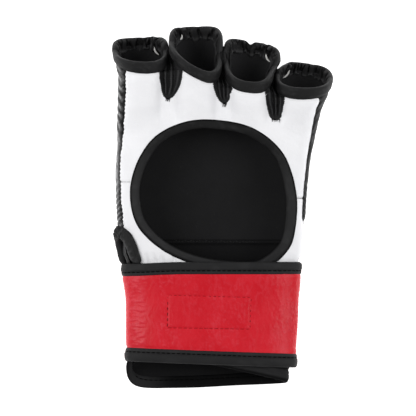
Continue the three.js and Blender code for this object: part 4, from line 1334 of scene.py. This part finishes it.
def makeStrip(strip):
    finger, sign = strip["finger"], strip["sign"]
    start = edgeAngle(fingerBox(finger, 88.0), edges[strip["edge"]](88.0))
    end = sign * math.radians(hand["shellSeam"])

    def place(s, a, d):
        share = np.clip(a, 0, 1)
        # the end follows the lower edge of the finger's tape
        toY = mouthY(finger, mix(start, end, share)) - hand["tapeWidth"] + 1.6
        y = mix(strip["fromY"], toY, s) + 0 * d
        wander = noiseAt(stacked(y, a * 3 + 0 * y, 0 * y), 9.0, 61 + sign, 2)
        pitch = stripLook["pitch"] * (1 + stripLook["longer"] * ease(y, 10, 60))
        lean = stripLook["slope"] * (0.65 - 1.65 * ease(y, *stripLook["turned"]))
        phase = (y + a * lean + wander * stripLook["wander"]) / pitch
        ridge = np.abs(np.sin(phase * math.pi)) ** 0.8
        shape = np.sin(share * math.pi) ** 0.6
        groove = stripLook["groove"] * (1 - ease(share, 0.07, 0.25))
        height = stripLook["ridge"] * strip["ridge"] * mix(1.0, 0.3, ease(share, 0.6, 0.85))
        out = stripLook["fullness"] * shape + height * (ridge - 0.55) - groove
        if sign > 0:
            wider = 0.35 - 1.4 * ease(y, 60, 76)
        else:
            wider = 0.15 * pulse(y, 72, 10) - 0.5 * ease(y, 76, 84) - 0.9 * pulse(y, 40, 8)
        out = out + wider * ease(share, 0.2, 0.6)
        free = ease(toY - y, 0.5, 5) * ease(y, *strip["freeFrom"])
        out = mix(-1.0, out, free)
        # painted highlight on the rope's ridges: thin lines towards its ends, broad and lightest about y
        # 25, only on the part seen from above
        rubbed = pulse(y, *stripLook["rubbed"])
        shown = ease(share, 0.17, 0.32) * (1 - 0.85 * ease(share, 0.56, 0.78))
        crest = mix(0.5 * ease(ridge, 0.8, 0.99), 0.35 + 0.4 * ease(ridge, 0.3, 0.95), rubbed) * shown
        point = stripPoint(strip, y, share, mix(-out, stripLook["depth"] + 0.6, d))
        return point, crest * (1 - d) * strip["rubbed"] * free

    section = ringSection(34, 2.6)
    piece = loftBand(f"{strip['name']}_rope", strip["stations"], section, place, closed=False)
    dress(piece, strip["finish"], "black_leather", strip["name"])


for strip in strips:
    makeStrip(strip)


# Tape round the thumb hole, over the rounded side of the hand
thumbLook = {"width": 8.0, "depth": 4.2, "pucker": 0.2, "fold": 1.5, "girth": 100.0}
thumbMiddle = np.array([-66.0, -30.0, 20.0])


def makeThumbTape():
    palmX, palmY = np.array(thumbPalm["x"]), np.array(thumbPalm["y"])
    palmZ = boxSurface(bodyBox(palmY), palmX, 1) + np.array(thumbPalm["lift"])
    side = stacked(thumbSide["x"], thumbSide["y"], thumbSide["z"])
    curve = smoothLoop(np.concatenate([stacked(palmX, palmY, palmZ), side]), 300)
    box = bodyBox(curve[:, 1])
    halfWidth, halfDepth = (box["right"] - box["left"]) / 2, (box["palm"] - box["back"]) / 2
    outX = (curve[:, 0] - (box["left"] + box["right"]) / 2) / halfWidth
    outZ = 1.6 * (curve[:, 2] - (box["back"] + box["palm"]) / 2) / halfDepth
    out = unit(stacked(outX, 0 * outX, outZ))
    along = unit(np.roll(curve, -1, axis=0) - np.roll(curve, 1, axis=0))
    across = unit(np.cross(along, out))
    across = facing(across, thumbMiddle - curve)
    up = facing(unit(np.cross(across, along)), out)
    atBack = ease(-curve[:, 2], -22, -14)[:, None]
    atTop = ease(curve[:, 1], -21, -16)[:, None]
    free = ease(curve[:, 1], -39, -34)[:, None]
    inLight = ease(curve[:, 2], 15, 26)[:, None]

    def place(s, a, d):
        flat = stacked(s * thumbLook["girth"] * 1.2, a * 7.0, d * 4.0)
        wave = noiseAt(flat, 3.4, 131, 2)
        crumple = noiseAt(flat, 2.8, 132, 3)
        wide = thumbLook["width"] * mix(0.7, 1.0, free) * mix(1.0, 0.8, atBack)
        deep = thumbLook["depth"] * mix(0.55, 1.0, free) * mix(1.0, 1.4, atBack)
        uneven = thumbLook["pucker"] * wave + thumbLook["fold"] * atTop * crumple
        lift = (0.5 - d) * deep + uneven * free
        seam = 0.4 * pulse(a, 0.17, 0.06) * (1 - d)
        # painted highlights on the puckers and along a line near one edge, only where the tape rises
        # into the light
        crest = (0.6 * ease(wave, 0.1, 0.55) * (1 - d) + pulse(a, 0.85, 0.15) * 0.4) * inLight
        lateral = (a - 0.5) * wide + 0.1 * wave * (1 - atTop)
        sideways, upwards = across[:, None] * lateral[..., None], up[:, None] * (lift - seam)[..., None]
        return curve[:, None] + sideways + upwards, crest

    piece = loftBand("thumb_hole_binding", len(curve), ringSection(44, 2.3), place)
    dress(piece, bindingTape, "binding_tape", "thumb_hole_tape")


makeThumbTape()
print("glove: gussets, side strips and thumb hole made")


# Back of the hand: one padded shell, quilted in plain channels over the fingers and knuckles
shellLook = {
    "side": 2.4,
    "channel": 1.3,
    "channelWidth": 1.7,
    "crossLines": [34.0, 8.0, -17.0],  # seams across the back, as places along y
    "wrinkle": 0.22,
}


def thumbLip(y):
    return edges["thumbLip"](np.clip(y, hand["bodyEnd"], hand["fingerBase"]))


def backPoint(y, angle, insetBack, insetSide):
    point = sectionPoint(bodyBox(y), y, angle, insetSide, 0.0, 0.0)
    point[..., 2] += insetBack * ease(-np.cos(angle), 0, 0.7)
    return point


def shellRelief(x, y):
    # sewn channels on the back of the shell, and the soft crowns between them
    reach = ease(y, -30, -20)
    lines = np.zeros_like(x)
    for k in (1, 2, 3):
        lineX = mix(partings[k](50) * 0.72 - 2, partings[k](y), ease(y, -30, 52))
        lines = np.maximum(lines, pulse(x, lineX, shellLook["channelWidth"]) * ease(y, 6, 10))
    for lineY in shellLook["crossLines"]:
        inSpan = ease(x, -62, -50) * ease(-x, -54, -44)
        lines = np.maximum(lines, pulse(y, lineY, shellLook["channelWidth"]) * inSpan)
    return lines * reach * shellLook["channel"]


def makeBackShell():
    def place(s, a, d, over):
        y = mix(hand["bodyEnd"], hand["fingerBase"], a) + over * 0.6
        start = -np.radians(thumbLip(y))
        angle = mix(start, math.radians(hand["shellSeam"]) - 2 * math.pi, s)
        inner = backPoint(y, angle, form["pad"](y), shellLook["side"])
        outer = backPoint(y, angle, 0.0, 0.0)
        share = ease(np.abs(np.cos(angle)), 0.05, 0.4)
        ridged = np.maximum(outer[..., 2], gloveHeight(outer[..., 0], y, -1))
        outer[..., 2] = mix(outer[..., 2], ridged, share)
        wrinkle = noiseAt(outer * (0.5, 1, 1), 6.0, 141, 3) * shellLook["wrinkle"]
        relief = shellRelief(outer[..., 0], y + 0 * angle) * share + (wrinkle + shellLook["wrinkle"])
        away = unit(stacked(np.sin(angle) * 0.6, 0 * angle, np.cos(angle)))
        outer = outer - away * relief[..., None]
        outer[..., 2] = np.maximum(outer[..., 2], 0.0)
        return outer + (inner - outer) * d[..., None]

    piece = loftWall("back_shell_padding", 170, 84, 3, place, closed=False, innerFinish=True)
    dress(piece, [blackLeather, blackLining], "black_leather", "back_shell")


# Lining of the back, seen through the palm opening, and the cuff's facing below it
liningForm = {
    "thickness": 1.1,
    "lift": 0.7,
    "wave": 0.4,
    "hemWidth": 1.3,
    "hemAt": -23.2,
    "sides": (113.0, -247.0),  # in degrees, from the thumb's side round the back
    "pastLip": 4.0,  # how far it stays from the thumb hole's lip
}


def makeFacing(name, finish, span, hemAt, hemRise):
    def place(s, a, d, over):
        y = mix(span[0], span[1], a) + over * 0.5
        start = -np.maximum(liningForm["sides"][0], thumbLip(y) + liningForm["pastLip"])
        angle = np.radians(mix(start, liningForm["sides"][1], s))
        lift = form["pad"](y) + liningForm["lift"]
        point = backPoint(y, angle, lift, shellLook["side"] + liningForm["lift"])
        slow = noiseAt(point * (1, 1, 0), 24.0, 151, 2)
        hem = pulse(y, hemAt, liningForm["hemWidth"]) * hemRise
        waves = liningForm["wave"] * (slow + 0.5)
        point[..., 2] += (1 - d) * liningForm["thickness"] + waves * (1 - d) + hem * (1 - d)
        return point

    piece = loftWall(name + "_cloth", 110, 90, 3, place, closed=False)
    dress(piece, finish, "black_lining", name)


makeBackShell()
makeFacing("back_lining", blackLining, (-21.65, 57.6), -20.6, 0.1)
facingSpan = (-92.0, hand["facingTop"])
# the cuff's facing takes the darker lining: painted shade
makeFacing("cuff_facing", shadedCuffLining, facingSpan, liningForm["hemAt"], 2.4)

# the zigzag stitches along the hem, seen in the palm opening
hemLook = {"span": (-38, 36), "y": -23.4, "slope": -0.012, "zigzag": 1.1, "step": 2.4, "rise": 2.45}
hemX = np.linspace(*hemLook["span"], 260)
hemY = hemLook["y"] + hemLook["slope"] * hemX
hemY = hemY + hemLook["zigzag"] * np.abs((hemX / hemLook["step"]) % 2 - 1)
hemZ = form["back"](hemY) + form["pad"](hemY)
hemZ = hemZ + liningForm["lift"] + liningForm["thickness"] + liningForm["wave"]
hemRise = hemLook["rise"] * pulse(hemY, liningForm["hemAt"], liningForm["hemWidth"])
hemPath = stacked(hemX, hemY, hemZ + hemRise + 0.1)
hemRow = {**threadRow, "pitch": 2.4, "thread": 0.3}
stitches("hem_stitches", hemPath, upward(hemPath), hemRow, blackThread, "black_lining")


# Cuff: a padded tube under the strap, with tape round its slanting lower edge
cuffLook = {
    "wrinkle": 0.5,
    "pucker": 0.3,
    "seamLine": 0.66,
    "girth": 260.0,
    "stitched": (118, 242),  # where its stitches show, in degrees
}


def cuffEnd(angle):
    across, up = roundedSquare(angle, hand["bodyPower"])
    x = across * cuff["halfWidth"] + cuff["middleX"]
    palm = cuff["palmY"] + cuff["palmPerX"] * x
    back = cuff["backY"] + cuff["backPerX"] * x - cuff["backBow"] * pulse(x, *cuff["bowAt"])
    return mix(back, palm, ease(up, -0.95, 0.95))


def cuffBox(y):
    return bodyBox(mix(np.maximum(y, hand["straightFrom"]), y, ease(-y, 100, 106)))


def makeCuff():
    def place(s, a, d, over):
        angle = s * 2 * math.pi
        y = mix(hand["bodyEnd"] - hand["seamGap"], cuffEnd(angle) + cuff["tape"] - 1.5, a) + over * 0.6
        point = sectionPoint(cuffBox(y), y, angle)
        wave = noiseAt(point * (0.4, 1, 0.4), 6.5, 161, 2)
        inset = mix(0.3, cuff["wall"], d) + cuffLook["wrinkle"] * (wave * 0.5 + 0.1) * (2 * d - 1)
        inset = mix(inset, 1.0 + 1.6 * d, ease(a, 0.93, 0.99))
        return sectionPoint(cuffBox(y), y, angle, inset)

    piece = loftWall("cuff_padding", 150, 56, 3, place)
    # the cuff's inside takes the darker lining: painted shade
    dress(piece, shadedCuffLining, "black_lining", "cuff")

    def placeTape(s, a, d):
        angle = s * 2 * math.pi
        wave = noiseAt(stacked(s * cuffLook["girth"] * 0.5, a * 8.0, d * 5.0), 4.5, 165, 2)
        sewn = 0.45 * pulse(a, cuffLook["seamLine"], 0.06)
        turn = 0.4 * (2 * a - 1) ** 4
        lift = cuffLook["pucker"] * wave
        inset = mix(turn - lift * 0.4 + sewn, 4.0 - turn + lift - sewn, d)
        # painted light: the palm side of the tape is lightened, and its inner face at the thumb's side
        lit = ease(np.cos(angle), -0.85, -0.3) * (0.55 + 0.15 * ease(wave, 0.0, 0.6))
        inside = 0.55 * ease(-np.sin(angle), 0.4, 0.8)
        y = cuffEnd(angle) + cuff["tape"] * a
        point = sectionPoint(bodyBox(y), y, angle, inset)
        return point, mix(lit * ease(a, 0.1, 0.3), inside, d)

    tape = loftBand("cuff_binding", 300, ringSection(44, 3.2), placeTape)
    dress(tape, shadedCuffTape, "binding_tape", "cuff_tape")
    # stitches along the tape's inner edge, over the back wall's inside
    angle = np.radians(np.linspace(*cuffLook["stitched"], 120))
    y = cuffEnd(angle) + cuff["tape"] * cuffLook["seamLine"]
    path = sectionPoint(bodyBox(y), y, angle, 3.75)
    row = {**threadRow, "pitch": 3.3, "thread": 0.6}
    stitches("cuff_stitches", path, upward(path), row, darkThread, "binding_tape")


makeCuff()
print("glove: back, linings and cuff made")


# Wrist strap: red leather between two tapes, its free end taped over a hook patch
strapLook = {
    "inset": 0.25,
    "foldWrinkle": 0.42,  # wrinkles across the turn at the thumb's side
    "crease": 0.34,
    "bulge": 0.35,
    "boxStitch": 0.5,
    "tapePucker": 0.12,
    "tapeSeam": 0.30,
    "corner": (1.5, 1.9),  # how far the top tape's right end is rounded, and from how far below its edge
    "girth": 300.0,
}
# corners of the sewn rectangle
stitchedBox = [(-34.8, -57.5), (19.3, -59.1), (18.5, -79.6), (-35.2, -78.7)]
tapeInner, tapeOuter = strap["innerOffset"], strap["outerOffset"]


def strapAngle(share):
    # from the strap's sewn end round the palm to its free end
    return mix(strap["startAngle"], strap["endAngle"], share)


def strapPoint(share, y, offset):
    angle = np.radians(strapAngle(share))
    climb = ease(-strapAngle(share), strap["climbFrom"], strap["climbTo"])
    total = offset + strap["layerStep"] * climb
    nearPalm = np.minimum(1, 1 + np.cos(angle))
    atTop = ease(y, -62, -43) * (1 - ease(y, -43.5, -37.5))
    flare = (strap["flare"] * atTop + strap["lowerFlare"] * ease(-y, 92, 95.5)) * nearPalm
    box = bodyBox(np.maximum(y, hand["straightFrom"]))
    point = sectionPoint(box, y, angle, -total - flare, -total - flare, -total)
    point[..., 2] = np.maximum(point[..., 2], 0.0)
    return point


def strapAcross(share):
    return roundedSquare(np.radians(strapAngle(share)), hand["bodyPower"])[0]


def strapEdge(edge, share):
    across = strapAcross(share)
    sag = strap["sag"] * ease(-across, 0.3, 1.0) if edge == "top" else 0.0
    x = across * strap["halfWidth"] + strap["middleX"]
    return strap[edge + "Y"] + strap[edge + "PerX"] * x - sag


def besideTapes(share, under):
    # the strap's lower and upper edge, less its tapes but for what runs on under them
    low = strapEdge("bottom", share) + strap["bottomTape"] - under
    return low, strapEdge("top", share) - strap["topTape"] + under


def sharpLines(waves):
    return np.maximum(0, 1 - 3.6 * np.abs(waves)) ** 3


def strapRelief(x, y, z):
    # creases and wrinkles of the red leather
    flat = stacked(x, y, z)
    sideways = noiseAt(flat * (0.2, 1, 0.3), 1.15, 171, 3)
    upright = noiseAt(flat * (1, 0.22, 1), 2.1, 172, 3)
    slanted = noiseAt(stacked(x + 0.45 * y, 0.22 * (y - 0.45 * x), z), 2.6, 173, 3)
    slow = noiseAt(flat * (1, 0.4, 1), 17.0, 174, 2)
    atFold = ease(-x, 48.4, 51.2)
    smooth = 1 - 0.85 * np.maximum(pulse(x, -46, 3.2), pulse(x, 28, 7))  # bands with hardly a crease
    creases = sharpLines(upright) + 0.7 * sharpLines(slanted)
    creases = creases * smooth
    patches = ease(noiseAt(flat * (1, 0.5, 1), 12.0, 175, 1), -0.3, 0.3)
    wrinkle = atFold * (1 - 0.75 * ease(-x, 57, 60.5)) * sideways
    relief = strapLook["bulge"] * slow + strapLook["foldWrinkle"] * wrinkle
    relief = relief + strapLook["crease"] * (0.3 + 0.7 * patches) * (creases - 0.35) * (1 - 0.9 * atFold)
    # painted sheen: the crease tops, most near x -38.5, the turn at the thumb's side and a band near x
    # 41 take the lighter colour
    worn = (0.14 + 0.4 * patches + 0.4 * pulse(x, -38.5, 3)) * creases * (1 - atFold)
    worn = worn + atFold * (0.22 + 0.5 * ease(sideways, -0.1, 0.35))
    worn = worn + (0.04 + 0.3 * ease(upright, -0.4, 0.4)) * pulse(x, 41, 3.4)
    return relief, worn


boxSides = list(zip(stitchedBox, stitchedBox[1:] + stitchedBox[:1]))


def boxLine(x, y):
    # how near a point is to the stitched rectangle on the strap
    nearest = np.full(np.shape(x), 99.0)
    for (x0, y0), (x1, y1) in boxSides:
        length = math.hypot(x1 - x0, y1 - y0)
        along = ((x - x0) * (x1 - x0) + (y - y0) * (y1 - y0)) / length
        aside = np.abs((x - x0) * (y1 - y0) - (y - y0) * (x1 - x0)) / length
        beyond = np.maximum(0, np.maximum(-along, along - length))
        nearest = np.minimum(nearest, np.hypot(aside, beyond))
    return pulse(nearest, 0, 0.55)


def makeStrap():
    def place(s, a, d, over):
        share = s * (1 - strap["endTape"])
        low, high = besideTapes(share, 1.2)
        y = mix(low, high, a)
        flat = strapPoint(share, y, tapeOuter)
        relief, wear = strapRelief(flat[..., 0], y + 0 * share, flat[..., 2])
        onPalm = ease(np.cos(np.radians(strapAngle(share))), 0.3, 0.6)
        relief = relief - strapLook["boxStitch"] * boxLine(flat[..., 0], y) * onPalm
        # the leather lies flat and low where it runs under the tapes
        toTape = np.minimum(y - low, high - y)
        relief = relief * ease(toTape, 1.6, 5.0)
        outer = tapeOuter - strapLook["inset"] + relief - 0.4 * (1 - ease(toTape, 1.0, 3.0))
        return strapPoint(share, y, mix(outer, tapeInner + strapLook["inset"], d)), wear * (1 - d)

    piece = loftWall("wrist_strap_leather", 470, 84, 3, place, closed=False, innerFinish=True)
    dress(piece, [redLeather, blackLining], "red_leather", "wrist_strap")


def makeStrapTape(edge, side):
    def place(s, a, d):
        outerY = strapEdge(edge, s)
        y = outerY + side * strap[edge + "Tape"] * (1 - a)
        wave = noiseAt(stacked(s * strapLook["girth"] * 0.6, a * 8.0, d * 3.0), 4.0, 181 + side, 2)
        sewn = pulse(a, strapLook["tapeSeam"], 0.06)
        turn = 0.3 * (2 * a - 1) ** 4
        lift = strapLook["tapePucker"] * wave + 0.3 * np.sin(a * math.pi) - 0.9 * sewn
        # painted highlights: a sheen on the puckers, the outer part of its width lighter, and a light
        # line near its inner edge
        crest = 0.16 * ease(wave, 0.1, 0.7) + 0.14 * ease(a, 0.38, 0.5) + 0.3 * pulse(a, 0.12, 0.1)
        rounded, reach = strapLook["corner"] if edge == "top" else (0.0, 1.0)
        corner = np.clip(1 - np.abs(outerY - y) / reach, 0, 1) ** 2 * ease(strapAcross(s), 0.85, 1.0)
        point = strapPoint(s, y, mix(tapeOuter - turn + lift, tapeInner + turn, d) - rounded * corner)
        return point, crest * (1 - d)

    name = f"strap_{edge}_binding"
    piece = loftBand(name, 520, ringSection(36, 3.4), place, closed=False)
    dress(piece, bindingTape, "binding_tape", f"strap_{edge}_tape")
    share = np.linspace(0.01, 0.99, 700)
    y = strapEdge(edge, share) + side * strap[edge + "Tape"] * (1 - strapLook["tapeSeam"])
    path, above = strapPoint(share, y, tapeOuter - 0.4), strapPoint(share, y, tapeOuter + 1)
    row = {**threadRow, "pitch": 3.3, "thread": 0.65, "gap": 0.2}
    stitches(name + "_stitches", path, unit(above - path), row, darkThread, "binding_tape")


makeStrap()
makeStrapTape("top", -1)
makeStrapTape("bottom", 1)


def makeStrapEnd():
    def place(s, a, d):
        share = mix(1 - strap["endTape"] * 1.35, 1.0, a)
        y = mix(*besideTapes(share, 0.6), s)
        wave = noiseAt(stacked(y, a * 5.0, d * 3.0), 4.0, 191, 2)
        turn = 0.3 * (2 * a - 1) ** 4
        return strapPoint(share, y, mix(tapeOuter + 0.2 - turn + 0.12 * wave, tapeInner + turn, d))

    piece = loftBand("strap_end_binding", 120, ringSection(34, 3.2), place, closed=False)
    dress(piece, bindingTape, "binding_tape", "strap_end_tape")


hookForm = {
    "angles": (152, 196),
    "span": (-88.0, -52.0),
    "inner": 3.35,
    "outer": 3.95,
    "loops": 0.14,
    "loopSize": 1.3,
}


def makeHookPatch():
    def place(s, a, d):
        angle = np.radians(mix(*hookForm["angles"], s))
        y = mix(*hookForm["span"], a)
        loops = noiseAt(stacked(s * 42, a * 36, 0 * s), hookForm["loopSize"], 195, 1)
        offset = mix(hookForm["outer"] + hookForm["loops"] * loops, hookForm["inner"], d)
        return sectionPoint(bodyBox(y), y, angle, -offset)

    piece = loftBand("hook_patch_loops", 80, ringSection(120, 9.0), place, closed=False)
    dress(piece, hookLoops, "black_lining", "hook_patch")


makeStrapEnd()
makeHookPatch()

# the stitched rectangle, in dark red thread
for k, ((x0, y0), (x1, y1)) in enumerate(boxSides):
    x, y = np.linspace(x0, x1, 80), np.linspace(y0, y1, 80)
    z = boxSurface(bodyBox(y), x, 1) + tapeOuter - strapLook["inset"]
    relief = strapRelief(x, y, z)[0] - strapLook["boxStitch"]
    path = stacked(x, y, z + relief)
    thread, gap, finish = (0.5, 0.34, darkRedThread) if k % 2 else (0.42, 0.12, redThread)
    row = {**threadRow, "pitch": 3.3, "thread": thread, "gap": gap}
    stitches(f"box_stitches_{k}", path, upward(path), row, finish, "red_leather")
print("glove: strap made")


# Floor, light and camera
stageLook = {
    "floor": (0.9, 0.9, 0.9),
    "size": 3.0,
    "below": 0.0006,
    "roughness": 0.9,
    "glow": 0.9,
    "world": 0.4,
}
# each light's place in metres, and its power
lights = {"left_light": ((-0.9, 0.15, 0.9), 9.0), "right_light": ((0.9, 0.05, 0.9), 7.8)}
lightAim, lightSize = (0, 0, 0.03), 0.8
# straight above the palm, far off; width is what it takes in at its aim, in millimetres
cameraLook = {
    "x": -9.2,
    "y": -0.9,
    "z": 25.0,
    "distance": 5000.0,
    "width": 270.4,
    "sensor": 36.0,
    "clip": (0.05, 20.0),
}

bpy.ops.mesh.primitive_plane_add(size=stageLook["size"], location=(0, 0, -stageLook["below"]))
floor = bpy.context.object
floor.name = "floor"
paper = bpy.data.materials.new("floor_paper")
paper.use_nodes = True
paperShader = paper.node_tree.nodes["Principled BSDF"]
paperShader.inputs["Base Color"].default_value = (*stageLook["floor"], 1)
paperShader.inputs["Roughness"].default_value = stageLook["roughness"]
paperShader.inputs["Emission Color"].default_value = (1, 1, 1, 1)
paperShader.inputs["Emission Strength"].default_value = stageLook["glow"]
floor.data.materials.append(paper)

world = bpy.data.worlds.new("studio")
bpy.context.scene.world = world
world.use_nodes = True
world.node_tree.nodes["Background"].inputs["Color"].default_value = (1, 1, 1, 1)
world.node_tree.nodes["Background"].inputs["Strength"].default_value = stageLook["world"]

for name, (place, power) in lights.items():
    lamp = bpy.data.lights.new(name, "AREA")
    lamp.shape, lamp.size, lamp.energy = "DISK", lightSize, power
    light = bpy.data.objects.new(name, lamp)
    light.location = place
    light.rotation_mode = "QUATERNION"
    light.rotation_quaternion = (Vector(place) - Vector(lightAim)).to_track_quat("Z", "Y")
    bpy.context.scene.collection.objects.link(light)

camera = bpy.data.objects.new("camera", bpy.data.cameras.new("camera"))
bpy.context.scene.collection.objects.link(camera)
camera.data.sensor_width = cameraLook["sensor"]
camera.data.lens = cameraLook["sensor"] * cameraLook["distance"] / cameraLook["width"]
camera.location = (
    cameraLook["x"] * millimetre,
    cameraLook["y"] * millimetre,
    (cameraLook["z"] + cameraLook["distance"]) * millimetre,
)
camera.data.clip_start, camera.data.clip_end = cameraLook["clip"]
bpy.context.scene.camera = camera
bpy.context.scene.view_settings.view_transform = "Standard"
print("glove: stage made")
